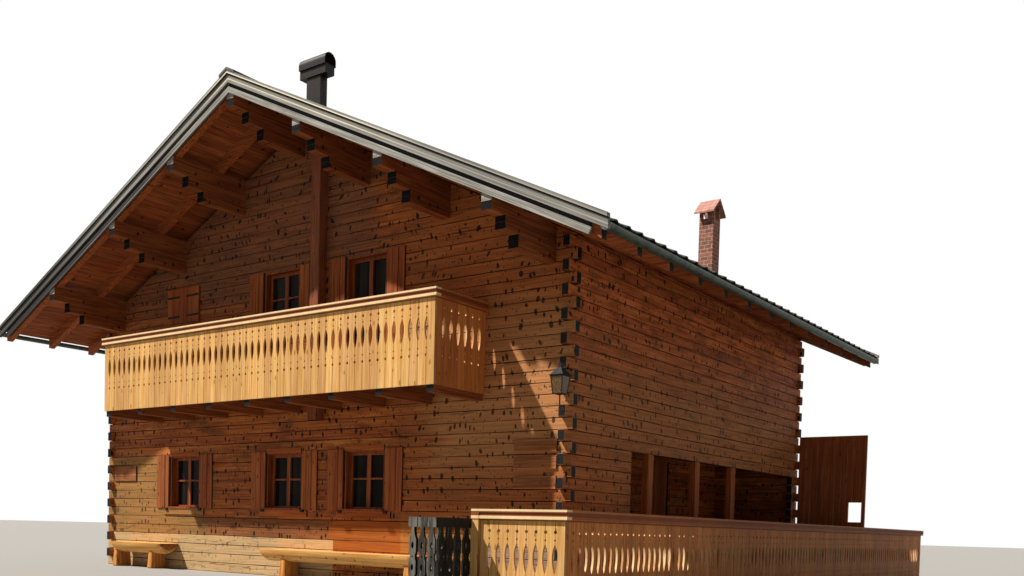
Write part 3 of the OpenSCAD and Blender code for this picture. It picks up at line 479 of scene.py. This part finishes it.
def roof_tile():
    """Fired clay tiles with a dark engobe, dull, with lichen and a shade of its own on every tile."""
    m = Finish("dark_engobed_roof_tile")
    column = m.calc("FLOOR", m.calc("DIVIDE", m.y, SIZES.tile_w))
    row = m.calc("FLOOR", m.calc("DIVIDE", m.x, TILE_REACH))
    value = m.times(m.fade(m.chance(column, row), 0.0, 1.0, 0.78, 1.2),
                    m.fade(m.spots(1.3, 4.0, 0.6), 0.3, 0.7, 0.82, 1.2))
    m.colour = m.add("HueSaturation", Color=COLOURS.tile, Value=value)
    m.cover("#6d6f60", m.fade(m.spots(9.0, 5.0, 0.7), 0.60, 0.68, 0.0, 0.55))
    m.relief = m.spots(55.0, 3.0, 0.6)
    return m.done(m.fade(m.relief, 0.3, 0.7, 0.55, 0.8), 0.3, 0.003)


def sheet_metal(name, base, streak, metallic, rough, caps=None, sheen=0.5):
    """Painted or weathered sheet metal with run marks; caps is ((low, high) along y, colour) of bare end caps."""
    m = Finish(name)
    m.colour = m.blend(m.fade(m.streaks((9.0, 9.0, 1.4), 4.0, 0.6), 0.42, 0.68), base, streak)
    if caps:
        (low, high), bare = caps
        m.cover(bare, m.calc("MAXIMUM", m.fade(m.y, low, low + 0.002, 1.0, 0.0), m.fade(m.y, high - 0.002, high)))
    m.relief = m.spots(70.0, 3.0, 0.6)
    return m.done(m.fade(m.relief, 0.3, 0.7, rough - 0.08, rough + 0.12), 0.12, 0.002,
                  Metallic=metallic, Specular_IOR_Level=sheen)


def brickwork():
    """Fired bricks in lime mortar, 150 x 75 mm with their joints, stained unevenly."""
    m = Finish("fired_brick_in_lime_mortar")
    round_the_corner = m.add("CombineXYZ", X=m.calc("ADD", m.x, m.y), Y=m.z)
    wall = m.add("TexBrick", {"offset": 0.5, "squash": 1.0}, Vector=round_the_corner,
                 Color1=COLOURS.brick, Color2="#834838", Mortar="#a79c8b", Scale=1.0, Mortar_Size=0.006,
                 Mortar_Smooth=0.1, Bias=0.0, Brick_Width=0.15, Row_Height=0.075)
    m.colour = m.add("HueSaturation", Color=wall, Value=m.fade(m.spots(14.0, 4.0, 0.6), 0.35, 0.7, 0.75, 1.15))
    m.relief = m.calc("MULTIPLY_ADD", wall.node.outputs["Fac"], -1.0, m.spots(90.0, 3.0, 0.6))
    return m.done(0.85, 0.5, 0.006)


def clay_slab():
    """Pinkish fired slabs of the chimney's tent, each tile 140 mm wide and 90 mm high."""
    m = Finish("pink_fired_clay_slab")
    upright, column, _ = m.joints(m.x, 0.14, 3.69, 0.004)
    level, row, _ = m.joints(m.z, 0.09, 7.12, 0.004)
    joints = m.calc("MAXIMUM", upright, level)
    value = m.times(m.fade(m.chance(column, row), 0.0, 1.0, 0.85, 1.12),
                    m.fade(m.spots(16.0, 4.0, 0.6), 0.3, 0.7, 0.85, 1.1))
    m.colour = m.add("HueSaturation", Color="#b27f6e", Value=value)
    m.cover("#5e4138", joints, 0.7)
    m.relief = m.calc("SUBTRACT", m.spots(80.0, 3.0, 0.6), joints)
    return m.done(0.8, 0.4, 0.004)


def curtained_glass():
    """Window glass with the dark room behind it painted in as shade, and curtains hanging in folds at both sides of
    each window.
    """
    m = Finish("window_glass_with_curtains")
    folds = m.fade(m.streaks((26.0, 1.0, 0.8), 2.0, 0.5), 0.3, 0.7, 0.35, 1.0)
    hang = 0.0
    for centre in LOWER_WINDOWS + (UPPER_WINDOW, BALCONY_DOOR):
        away = m.calc("ABSOLUTE", m.calc("SUBTRACT", m.x, centre))
        hang = m.calc("MAXIMUM", hang, m.between(away, 0.12, 0.2, 0.36, 0.38))
    upstairs = m.fade(m.z, 2.4, 2.6, 0.4, 1.0)
    # Painted shade: the dark of the unlit room behind the panes is painted into the glass
    m.colour = m.blend(m.fade(m.spots(2.2, 2.0, 0.5), 0.4, 0.7), "#0d0b08", "#1a150f")
    m.cover(m.add("HueSaturation", Color="#55534c", Value=folds), hang, upstairs, 0.22)
    # Painted reflection: the reflections are tinted brown, for the brown wood that the panes mirror
    return m.done(0.05, IOR=1.52, Specular_IOR_Level=0.04, Specular_Tint="#a58a70")


def lantern_pane():
    """Amber hammered glass."""
    m = Finish("amber_hammered_glass")
    m.relief = m.spots(60.0, 2.0, 0.5)
    m.colour = m.blend(m.fade(m.relief, 0.35, 0.65), "#3f2c16", "#6e522b")
    return m.done(0.2, 0.25, 0.002, IOR=1.5, Specular_IOR_Level=0.3)


def cast_concrete():
    """Plain cast concrete, pale grey with fine pores."""
    m = Finish("plain_cast_concrete")
    m.colour = m.blend(m.fade(m.spots(1.7, 4.0, 0.6), 0.3, 0.7), "#8f8c86", "#a5a29b")
    m.relief = m.spots(60.0, 3.0, 0.7)
    return m.done(0.85, 0.3, 0.003)


def dress(material, *names):
    """Gives a material to CAD nodes through their objects' own slots."""
    for name in names:
        obj = NODES[name]
        if not obj.material_slots:
            raise RuntimeError(name + " has no material slot")
        for slot in obj.material_slots:
            slot.link = "OBJECT"
            slot.material = material


def dress_walls():
    """Squared larch logs, hewn with the axe: orange-brown with dark marks and a thin joint at each course."""
    front, side = (COLOURS.log_light, COLOURS.log_dark), (COLOURS.side_light, COLOURS.side_dark)
    walls = ((0, front, FRONT_PATCHES, ("front_wall",)),
             (0, front, (), ("rear_wall",)),
             (1, front, (), ("left_wall",)),
             (1, side, SIDE_PATCHES, ("right_wall_upper", "right_wall_lower", "right_wall_corner")),
             (1, side, (), ("porch_side_wall",)),
             (0, side, (), ("porch_cross_wall",)))
    for seed, (along, woods, patches, nodes) in enumerate(walls):
        hewn = timber("hewn_larch_log_" + nodes[0], *woods, along, (2, LOG_H, 0.0, 0.006), marks=0.95, cracks=0.55,
                      ends=COLOURS.end_grain, patches=patches, seed=seed + 1.0, bump=0.5)
        dress(hewn, *nodes)


def dress_roof():
    """Purlins, rafters, posts, boards, tiles, gutters and chimneys."""
    ends = COLOURS.end_grain
    dress(purlin_wood(), "ridge_purlin", "purlins_left", "purlins_right")
    dress(timber("planed_larch_rafter", "#a85f33", "#73391c", 0, cracks=0.4, knots=0.6, ends=ends, seed=8.0),
          "rafters_left", "rafters_right")
    dress(timber("larch_gable_post", "#94573a", "#6c3c27", 2, knots=0.7, cracks=0.4, ends=ends, seed=9.0, tint=0.08),
          "gable_post")
    dress(timber("larch_porch_post", COLOURS.log_light, COLOURS.log_dark, 2, cracks=0.5, ends=ends, seed=10.0),
          "porch_posts")
    dress(timber("stained_soffit_board", COLOURS.soffit_light, COLOURS.soffit_dark, 1, (0, 0.118, 0.0, 0.003),
                 knots=0.8, seed=11.0), "roof_boards_left", "roof_boards_right")
    dress(verge_wood(), "verge_boards_left", "verge_boards_right")
    dress(roof_tile(), "ridge_cap", "roof_tiles_left", "roof_tiles_right")
    dress(sheet_metal("green_painted_gutter", COLOURS.gutter, "#2f3a32", 0.3, 0.45, (GUTTER_ENDS, "#9a9d98")),
          "gutter_left", "gutter_right")
    dress(sheet_metal("brown_flue_sheet", COLOURS.flue, "#292220", 0.1, 0.4, sheen=0.15), "metal_chimney")
    dress(brickwork(), "brick_chimney")
    dress(clay_slab(), "chimney_cap")


def dress_balustrades():
    """New sawn larch: honey boards with thin dark gaps, a cream cap and strip with a band of painted shade between
    them.
    """
    sunny, painted_shade_woods = (COLOURS.larch_light, COLOURS.larch_dark), ("#d68a4c", "#b06834")
    # Node, top of the rail, axis along the run, width of a board, place of a joint, woods
    runs = (("balcony_front", BALCONY_TOP, 0, 7.675 / 52, -3.7935, sunny),
            ("balcony_left", BALCONY_TOP, 1, 0.1528, -5.2695, sunny),
            ("balcony_right", BALCONY_TOP, 1, 0.1528, -5.2695, painted_shade_woods),
            ("fence_front", FENCE_TOP, 0, 0.1304, 5.485, sunny),
            ("fence_rear", FENCE_TOP, 0, 0.1293, 5.495, sunny),
            ("fence_side", FENCE_TOP, 1, 0.1354, -6.2315, painted_shade_woods))
    for seed, (name, top, axis, width, shift, woods) in enumerate(runs):
        # Runs turned away from the sun take a darker copy of the wood and bands, as painted shade; their faces turned
        # to the front take cream, painted sunlight on the cut edges
        codes, wear_and_sunlit_face = (PAINTED_SHADE_BANDS, "#efcf9c") if woods is painted_shade_woods else (SUNNY_BANDS, None)
        bands = [(top + low, top + high, code) for (low, high), code in zip(RAIL_BANDS, codes)]
        dress(timber("new_sawn_larch_" + name, *woods, 2, (axis, width, shift, 0.003), knots=0.6, tint=0.10,
                     seam="#6b3a1b", bands=bands, seed=seed + 13.0, rough=0.55, wear_and_sunlit_face=wear_and_sunlit_face), name)


def dress_woodwork():
    """Benches, floors, windows, shutters, boards and the black stand."""
    ends, light, dark = COLOURS.end_grain, COLOURS.board_light, COLOURS.board_dark
    dress(timber("new_larch_half_log", "#f2bd70", "#cb8b45", 0, knots=0.8, cracks=0.4, ends="#a8683f", seed=20.0),
          "bench_left", "bench_right")
    dress(timber("larch_bench_foot", "#d9974f", "#a9662e", 2, cracks=0.5, seed=21.0), "bench_feet")
    dress(timber("old_floor_board", "#8d6a48", "#5c4029", 0, (1, 0.14, 0.0, 0.004), seed=22.0),
          "balcony_floor", "upper_floor")
    dress(timber("balcony_joist", "#9a5a34", "#6a371d", 1, cracks=0.5, ends="#1d1b1a", seed=23.0), "balcony_joists")
    dress(timber("terrace_deck_board", "#9a8468", "#66523f", 1, (0, 0.14, 5.38, 0.004), cracks=0.3, seed=24.0),
          "terrace_deck")
    dress(timber("stained_window_wood", COLOURS.frame_wood, "#5c2d18", 2, tint=0.08, rough=0.45, seed=25.0),
          "windows_front")
    dress(timber("larch_trim_board", "#b8652f", "#8b461f", 0, knots=0.6, ends=ends, seed=26.0, patches=TRIM_PATCHES),
          "window_trims")
    dress(timber("carved_name_board", "#a96b41", "#77482c", 0, knots=0.5, cracks=0.3, ends=ends, seed=27.0,
                 bands=NAME_EDGE_HIGHLIGHTS), "name_boards", "plaque")
    for name, axis in (("shutters_left", 1), ("shutters_rear", 0)):
        dress(timber("closed_shutter_" + name, light, dark, 2, (axis, 0.142, 0.0, 0.004), knots=0.7,
                     seed=28.0 + axis), name)
    dress(timber("porch_door_board", light, dark, 2, (1, 0.125, 1.0, 0.004), knots=0.7, seed=30.0), "porch_door")
    dress(timber("wind_screen_slat", light, dark, 2, knots=0.6, cracks=0.4, seed=31.0), "wind_screen")
    dress(timber("black_stained_board", COLOURS.black_board, "#121212", 2, rough=0.5, tint=0.15, seed=32.0,
                 wear_and_sunlit_face="#6b6861"), "stand_ends", "stand_sides", "stand_top")


# --- modelling helpers

def made(primitive, name, scale=(1, 1, 1), **settings):
    """A new mesh primitive with its place, turn and scale applied."""
    bpy.ops.object.select_all(action="DESELECT")
    primitive(**settings)
    obj = bpy.context.object
    obj.name = name
    obj.scale = scale
    bpy.ops.object.transform_apply(location=True, rotation=True, scale=True)
    return obj


def block(name, low, high):
    """A box at its size and place, ready to be shaped."""
    low, high = Vector(low), Vector(high)
    return made(bpy.ops.mesh.primitive_cube_add, name, high - low, size=1, location=(low + high) / 2)


def pick_faces(obj, test):
    """Selects in edit mode the faces whose normal passes a test."""
    mesh = bmesh.from_edit_mesh(obj.data)
    for element in (*mesh.faces, *mesh.edges, *mesh.verts):
        element.select_set(False)
    found = [face for face in mesh.faces if test(face.normal)]
    for face in found:
        face.select_set(True)
    bmesh.update_edit_mesh(obj.data)
    if not found:
        raise RuntimeError("no face found on " + obj.name)


def pick_verts(obj, test):
    """Selects in edit mode the corners whose place passes a test."""
    mesh = bmesh.from_edit_mesh(obj.data)
    for vert in mesh.verts:
        vert.select_set(test(vert.co))
    mesh.select_flush_mode()
    bmesh.update_edit_mesh(obj.data)


def pick_all():
    """Selects everything in edit mode."""
    bpy.ops.mesh.select_all(action="SELECT")


def scale_picked(factors, centre):
    """Scales what is picked about a centre."""
    bpy.ops.transform.resize(value=factors, center_override=centre)


def extrude_picked(way):
    """Extrudes what is picked."""
    bpy.ops.mesh.extrude_region_move(TRANSFORM_OT_translate={"value": way})


def looks_up(normal):
    """True of an upper face."""
    return normal.z > 0.9


def edit(obj, mode="FACE"):
    """Opens one object for editing."""
    bpy.ops.object.select_all(action="DESELECT")
    bpy.context.view_layer.objects.active = obj
    obj.select_set(True)
    bpy.ops.object.mode_set(mode="EDIT")
    bpy.ops.mesh.select_mode(type=mode)


def close_edit():
    """Leaves edit mode."""
    bpy.ops.object.mode_set(mode="OBJECT")


def soften(obj, width, segments=1):
    """Bevels every edge of a piece a little."""
    edit(obj)
    pick_all()
    bpy.ops.mesh.bevel(offset=width, segments=segments, affect="EDGES", clamp_overlap=True)
    close_edit()
    return obj


def add_bar(parts, low, high, edge, segments=1):
    """Adds a box with worn edges to a list of parts."""
    parts.append(soften(block("bar", low, high), edge, segments))


def copied(obj, name, matrix):
    """A copy with its own mesh, moved in its mesh."""
    twin = obj.copy()
    twin.data = obj.data.copy()
    twin.name = name
    twin.data.transform(matrix)
    bpy.context.scene.collection.objects.link(twin)
    return twin


def turned_over(obj):
    """Turns the faces of a mirrored piece outward again."""
    edit(obj)
    pick_all()
    bpy.ops.mesh.flip_normals()
    close_edit()
    return obj


def joined(name, parts):
    """Several pieces as one object."""
    bpy.ops.object.select_all(action="DESELECT")
    for part in parts:
        part.select_set(True)
    bpy.context.view_layer.objects.active = parts[0]
    bpy.ops.object.join()
    parts[0].name = name
    return parts[0]


def painted(obj, material):
    """Gives a new piece its material."""
    obj.data.materials.clear()
    obj.data.materials.append(material)
    return obj


def settle(obj, slot, *nodes):
    """Lets a finished piece ride on the house in place of some nodes; the slot is not used."""
    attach(obj, "root")
    if nodes:
        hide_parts(*nodes)


# --- operators

class CHALET_OT_finishes(bpy.types.Operator):
    """Gives every solid of the house its finish"""

    bl_idname = "chalet.finishes"
    bl_label = "Finishes"

    def execute(self, context):
        dress_walls()
        dress_roof()
        dress_balustrades()
        dress_woodwork()
        dress(curtained_glass(), "glass_front")
        dress(cast_concrete(), "ground_floor")
        return {"FINISHED"}


class CHALET_OT_tiles(bpy.types.Operator):
    """Lays the roof tiles in rows on both slopes"""

    bl_idname = "chalet.tiles"
    bl_label = "Roof tiles"

    def one_tile(self, step, width):
        """A tile in the slope's own plane: x down the slope, y along the eave, z square to the slope."""
        # Shares of the tile's width and of the roll's height: a shallow trough runs into a roll that laps over the
        # next tile
        profile = ((0.0, 0.0), (0.1, -0.10), (0.3, -0.22), (0.52, -0.18), (0.64, 0.05), (0.72, 0.55), (0.80, 0.92),
                   (0.87, 1.0), (0.94, 0.72), (1.0, 0.15))
        lap, thick = 0.14, 0.016
        last = len(profile) - 1
        long = step * (1 + lap)
        tile = made(bpy.ops.mesh.primitive_grid_add, "tile", (long, width, 1), x_subdivisions=1, y_subdivisions=last,
                    size=1, location=(step - long / 2, width / 2, 0))
        edit(tile, "VERT")
        for i in range(last, -1, -1):
            place, lift = profile[i]
            pick_verts(tile, lambda at: abs(at.y - i * width / last) < 0.0001)
            bpy.ops.transform.translate(value=(0, (place - i / last) * width, lift * SIZES.tile_roll))
        pick_verts(tile, lambda at: at.x < 0)
        bpy.ops.transform.translate(value=(0, 0, -TILE_STEP * math.cos(PITCH) * (1 + lap)))
        bpy.ops.mesh.select_mode(type="FACE")
        pick_all()
        extrude_picked((0, 0, -thick))
        pick_all()
        bpy.ops.mesh.normals_make_consistent(inside=False)
        close_edit()
        return tile

    def battens(self, low, high, matrix):
        """Strips under the tiles of one slope, seen at the verge; the matrix mirrors those of the left one."""
        half, height, edge = 0.03, 0.034, 0.002
        over_boards = BOARD_TOP + 0.001
        strips = []
        for x in (0.3, 1.7, 3.2, 4.8, 6.3, 6.6):
            add_bar(strips, (-half, low.y + edge, 0.0), (half, high.y - edge, height), edge)
            laid = Matrix.Translation((x, 0, RIDGE_Z - x * RISE + over_boards)) @ Matrix.Rotation(PITCH, 4, "Y")
            strips[-1].data.transform(matrix @ laid)
            if matrix.is_negative:
                turned_over(strips[-1])
        return strips

    def execute(self, context):
        low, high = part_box("roof_tiles_right")
        columns = round((high.y - low.y) / SIZES.tile_w)
        width = (high.y - low.y) / columns
        step = (TILE_HALF - TILE_FIRST) / math.cos(PITCH) / SIZES.tile_rows
        tile = self.one_tile(step, width)
        for count, offset in ((columns, (0, width, 0)), (SIZES.tile_rows, (step, 0, 0))):
            modifier = tile.modifiers.new("rows", "ARRAY")
            modifier.count = count
            modifier.use_relative_offset = False
            modifier.use_constant_offset = True
            modifier.constant_offset_displace = offset
            bpy.ops.object.modifier_apply(modifier=modifier.name)
        # The troughs sink a little into the stepped layer that they replace
        top = ROOF_TOP - TILE_DROP - 0.4 * SIZES.tile_roll
        start = Matrix.Translation((TILE_FIRST, low.y, RIDGE_Z - TILE_FIRST * RISE + top))
        start = start @ Matrix.Rotation(PITCH, 4, "Y")
        flip = Matrix.Diagonal((-1, 1, 1, 1))
        right = copied(tile, "roof_tile_rows_right", start)
        left = turned_over(copied(tile, "roof_tile_rows_left", flip @ start))
        bpy.data.objects.remove(tile)
        wood = timber("roof_batten", "#6b4a30", "#3f2a1c", 1, seed=40.0)
        for name, rows, matrix in (("right", right, Matrix.Identity(4)), ("left", left, flip)):
            strips = joined("roof_battens_" + name, self.battens(low, high, matrix))
            settle(painted(strips, wood), "roof_tiles")
            settle(painted(rows, bpy.data.materials["dark_engobed_roof_tile"]), "roof_tiles", "roof_tiles_" + name)
        return {"FINISHED"}


class CHALET_OT_shutters(bpy.types.Operator):
    """Makes the open shutters of vertical boards with iron straps and stays"""

    bl_idname = "chalet.shutters"
    bl_label = "Shutters"

    def open_leaf(self, x, z, height, side, boards, shadow_backs, irons):
        """One open leaf beside an opening: its near-black back, which is painted shadow, its three boards and the iron
        stay under it.
        """
        low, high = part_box("shutters_front")
        shares, gap, edge, drops = (0.0, 0.36, 0.66, 1.0), 0.004, 0.006, (0.004, 0.0, 0.007)
        back_t, boards_y = 0.012, high.y - 0.010
        start = x + (-WINDOW_W / 2 - LEAF_W if side < 0 else WINDOW_W / 2)
        add_bar(shadow_backs, (start + gap, high.y - back_t, z + 0.008),
                (start + LEAF_W - gap, high.y, z + height + 0.02), 0.002)
        # The near-black back is painted shadow, showing along both sides, broader towards the window
        shadows = (0.010, 0.026) if side < 0 else (0.026, 0.010)
        for i in range(3):
            a = start + shares[i] * LEAF_W + (shadows[0] if i == 0 else gap)
            b = start + shares[i + 1] * LEAF_W - (shadows[1] if i == 2 else gap)
            add_bar(boards, (a, low.y + edge * (i != 1), z + drops[(i + len(boards)) % 3]),
                    (b, boards_y, z + height + 0.025), edge, 2)
        middle, half, deep, down, up = x + side * (WINDOW_W / 2 + 0.065), 0.038, 0.02, 0.032, 0.014
        add_bar(irons, (middle - half, low.y - deep, z - down), (middle + half, low.y + edge, z + up), edge, 2)

    def small_leaf(self, side, boards, irons):
        """One leaf of the small closed pair beside the balcony's left end, with two black straps."""
        low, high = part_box("shutters_front")
        x, z, height, board, gap = -3.045, UPPER_HEAD - 0.6, 0.62, 0.45 / 3, 0.0015
        for i in range(3):
            a = x + (0.002 + i * board if side > 0 else -0.002 - (i + 1) * board)
            add_bar(boards, (a + gap, low.y, z), (a + board - gap, high.y, z + height), 0.004, 2)
        a, b = sorted((x + side * 0.10, x + side * 0.445))
        half = SIZES.strap_w / 2
        for strap_z in (z + 0.12, z + 0.47):
            add_bar(irons, (a, low.y - 0.005, strap_z - half), (b, low.y + 0.002, strap_z + half), 0.002)

    def execute(self, context):
        wood = timber("larch_shutter_board", COLOURS.board_light, COLOURS.board_dark, 2,
                      (0, SIZES.shutter_board, 0.005, 0.0), knots=0.75, cracks=0.4, tint=0.13, seed=31.0,
                      patches=SHUTTER_PATCHES)
        iron = sheet_metal("black_wrought_iron", "#161514", "#262321", 0.0, 0.6, sheen=0.15)
        # Painted shadow: the near-black backs stand for the shade along the leaves' edges and in the gaps between their
        # boards
        shade = timber("shutter_leaf_in_shadow", "#24130c", "#120a07", 2, seed=33.0)
        openings = [(x, WINDOW_Z, WINDOW_H) for x in LOWER_WINDOWS]
        openings += [(UPPER_WINDOW, UPPER_HEAD - WINDOW_H, WINDOW_H), (BALCONY_DOOR, DOOR_SILL, UPPER_HEAD - DOOR_SILL)]
        boards, shadow_backs, irons = [], [], []
        for opening in openings:
            for side in (-1, 1):
                self.open_leaf(*opening, side, boards, shadow_backs, irons)
        for side in (-1, 1):
            self.small_leaf(side, boards, irons)
        settle(painted(joined("shutter_boards", boards), wood), "larch_boards", "shutters_front")
        settle(painted(joined("shutter_leaves", shadow_backs), shade), "larch_boards")
        settle(painted(joined("shutter_ironwork", irons), iron), "flue_metal")
        return {"FINISHED"}


class CHALET_OT_benches(bpy.types.Operator):
    """Makes the two benches of half logs on upright slabs"""

    bl_idname = "chalet.benches"
    bl_label = "Benches"

    def half_log(self, ends, radius, centre):
        """A half log, flat side up, with both ends hewn off slanting upward in two steps."""
        thick, step = 0.19, 0.04
        log = made(bpy.ops.mesh.primitive_cylinder_add, "log", vertices=24, radius=radius,
                   depth=ends[1] - ends[0] - 4 * step, location=(sum(ends) / 2, *centre[1:]),
                   rotation=(0, math.pi / 2, 0))
        edit(log, "VERT")
        pick_verts(log, lambda at: at.z > centre[2])
        scale_picked((1, 1, 0), centre)
        pick_all()
        scale_picked((1, 1, thick / radius), centre)
        bpy.ops.mesh.select_mode(type="FACE")
        for side in (-1, 1):
            for depth in (0.86, 0.6):
                pick_faces(log, lambda normal: normal.x * side > 0.9)
                extrude_picked((step * side, 0, 0))
                scale_picked((1, 0.97, depth), centre)
        close_edit()
        bpy.ops.object.shade_smooth_by_angle(angle=math.radians(35))
        return log

    def execute(self, context):
        low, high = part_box("bench_right")
        radius = 0.21
        middle, top = high.y - radius, high.z
        slab_x, slab_y, slab_top = 0.07, 0.16, top - 0.10
        slabs = []
        for name, ends, feet in (("left", (-4.67, -3.12), (-4.58, -3.48)), ("right", (low.x, high.x), (0.11, 2.8))):
            log = painted(self.half_log(ends, radius, (0, middle, top)), bpy.data.materials["new_larch_half_log"])
            log.name = "half_log_bench_" + name
            settle(log, "new_larch", "bench_" + name)
            for x in feet:
                slab = block("slab", (x - slab_x, middle - slab_y, 0), (x + slab_x, middle + slab_y, slab_top))
                edit(slab)
                pick_faces(slab, looks_up)
                scale_picked((0.75, 0.85, 1), (x, middle, 0))
                close_edit()
                slabs.append(soften(slab, 0.02, 2))
        settle(painted(joined("bench_slabs", slabs), bpy.data.materials["larch_bench_foot"]), "new_larch", "bench_feet")
        return {"FINISHED"}


class CHALET_OT_lantern(bpy.types.Operator):
    """Makes the corner lantern of dark metal with amber panes"""

    bl_idname = "chalet.lantern"
    bl_label = "Corner lantern"

    def execute(self, context):
        metal = bpy.data.materials["black_wrought_iron"]
        x, y, z = 5.288, LOG_FACE_Y - 0.11, 2.68
        body_top, rim_top, hood_top, rod_h = 0.24, 0.256, 0.351, 0.19

        def square(name, half, lower, upper):
            return block(name, (x - half, y - half, z + lower), (x + half, y + half, z + upper))

        def flare(share):
            scale_picked((share, share, 1), (x, y, z))

        body = square("lantern_body", 0.0725, 0, body_top)
        edit(body)
        pick_faces(body, looks_up)
        flare(1.35)
        # The panes sit between bars
        pick_faces(body, lambda normal: abs(normal.z) < 0.5)
        bpy.ops.mesh.inset(thickness=0.011, use_individual=True)
        body.data.materials.append(metal)
        body.data.materials.append(lantern_pane())
        body.active_material_index = 1
        bpy.ops.object.material_slot_assign()
        bpy.ops.mesh.inset(thickness=0.001, depth=-0.005, use_individual=True)
        close_edit()
        rim = soften(square("lantern_rim", 0.11, body_top, rim_top), 0.004, 2)
        # The hood narrows to a knob
        hood = square("lantern_hood", 0.098, rim_top, hood_top)
        edit(hood)
        pick_faces(hood, looks_up)
        flare(0.3)
        bpy.ops.mesh.inset(thickness=0.008)
        extrude_picked((0, 0, 0.05))
        flare(0.85)
        close_edit()
        rod = made(bpy.ops.mesh.primitive_cylinder_add, "lantern_rod", vertices=16, radius=0.009, depth=rod_h,
                   location=(x, y, z - rod_h / 2))
        parts = [rim, hood, rod]
        add_bar(parts, (x - 0.007, y - 0.007, z - 0.15), (x + 0.007, LOG_FACE_Y, z - 0.136), 0.002)
        add_bar(parts, (x - 0.043, LOG_FACE_Y - 0.008, z - 0.21), (x + 0.007, LOG_FACE_Y, z - 0.125), 0.002)
        for part in parts:
            painted(part, metal)
        settle(joined("corner_lantern", [body] + parts), "flue_metal", "lantern")
        return {"FINISHED"}


class CHALET_OT_stage(bpy.types.Operator):
    """Sets the pale floor, the soft light and the camera"""

    bl_idname = "chalet.stage"
    bl_label = "Stage"

    def light(self, scene):
        """White surroundings, dimmer as light than as seen, and the sun."""
        world = bpy.data.worlds.new("studio")
        scene.world = world
        world.use_nodes = True
        nodes = Nodes(world.node_tree)
        path = nodes.add("LightPath").node.outputs
        seen = nodes.calc("MAXIMUM", path["Is Camera Ray"], path["Is Glossy Ray"])
        seen = nodes.calc("MAXIMUM", seen, path["Is Transmission Ray"])
        glow = nodes.add("Background", Color="#eef1f5", Strength=0.13)
        white = nodes.add("Background", Color=(1, 1, 1, 1), Strength=1.0)
        nodes.end("World", nodes.add("MixShader", i0=seen, i1=glow, i2=white))

        lamp = bpy.data.lights.new("soft_sun", "SUN")
        lamp.energy = 6.6
        lamp.angle = math.radians(1.2)
        lamp.color = linear("#fff9f1")[:3]
        sun = bpy.data.objects.new("soft_sun", lamp)
        azimuth, height = math.radians(-48.5), math.radians(50)
        ray = Vector((-math.sin(azimuth) * math.cos(height), math.cos(azimuth) * math.cos(height), -math.sin(height)))
        sun.rotation_euler = ray.to_track_quat("-Z", "Y").to_euler()
        scene.collection.objects.link(sun)

    def look(self, scene):
        """The photograph's camera, fitted to the straight edges of the house."""
        camera = bpy.data.cameras.new("photo_view")
        camera.sensor_width = 36
        camera.lens = 35.32
        camera.shift_y = 0.2745
        camera.clip_end = 1000
        yaw, pitch, roll = math.radians(36.122), math.radians(-2.244), math.radians(1.573)
        ahead = Vector((-math.sin(yaw) * math.cos(pitch), math.cos(yaw) * math.cos(pitch), math.sin(pitch)))
        level = Vector((math.cos(yaw), math.sin(yaw), 0))
        up = level.cross(ahead)
        turned = level * math.cos(roll) + up * math.sin(roll)
        risen = up * math.cos(roll) - level * math.sin(roll)
        view = Matrix((turned, risen, -ahead)).transposed().to_4x4()
        view.translation = Vector((12.664, -15.456, 0.884))
        eye = bpy.data.objects.new("photo_view", camera)
        scene.collection.objects.link(eye)
        eye.matrix_world = view
        scene.camera = eye

    def execute(self, context):
        floor = made(bpy.ops.mesh.primitive_plane_add, "studio_floor", size=400, location=(0, 0, -0.001))
        finish = Finish("pale_studio_floor")
        finish.colour = COLOURS.floor
        painted(floor, finish.done(0.9))
        self.light(context.scene)
        self.look(context.scene)
        context.scene.view_settings.view_transform = "Standard"
        return {"FINISHED"}


STEPS = (CHALET_OT_finishes, CHALET_OT_tiles, CHALET_OT_shutters, CHALET_OT_benches, CHALET_OT_lantern, CHALET_OT_stage)


class CHALET_PT_panel(bpy.types.Panel):
    """Sidebar panel of the chalet"""

    bl_idname = "CHALET_PT_panel"
    bl_label = "Alpine Log Chalet"
    bl_space_type = "VIEW_3D"
    bl_region_type = "UI"
    bl_category = "Chalet"

    def draw(self, context):
        column = self.layout.column()
        for group in (context.scene.chalet_colours, context.scene.chalet_sizes):
            for name in group.__annotations__:
                column.prop(group, name)
        for step in STEPS:
            column.operator(step.bl_idname)


CLASSES = (ChaletColours, ChaletSizes) + STEPS + (CHALET_PT_panel,)


def register():
    for cls in CLASSES:
        bpy.utils.register_class(cls)
    bpy.types.Scene.chalet_colours = bpy.props.PointerProperty(type=ChaletColours)
    bpy.types.Scene.chalet_sizes = bpy.props.PointerProperty(type=ChaletSizes)


def unregister():
    del bpy.types.Scene.chalet_sizes
    del bpy.types.Scene.chalet_colours
    for cls in reversed(CLASSES):
        bpy.utils.unregister_class(cls)


def main():
    """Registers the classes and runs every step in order."""
    register()
    bpy.ops.chalet.finishes()
    bpy.ops.chalet.tiles()
    bpy.ops.chalet.shutters()
    bpy.ops.chalet.benches()
    bpy.ops.chalet.lantern()
    bpy.ops.chalet.stage()


if __name__ == "__main__":
    main()
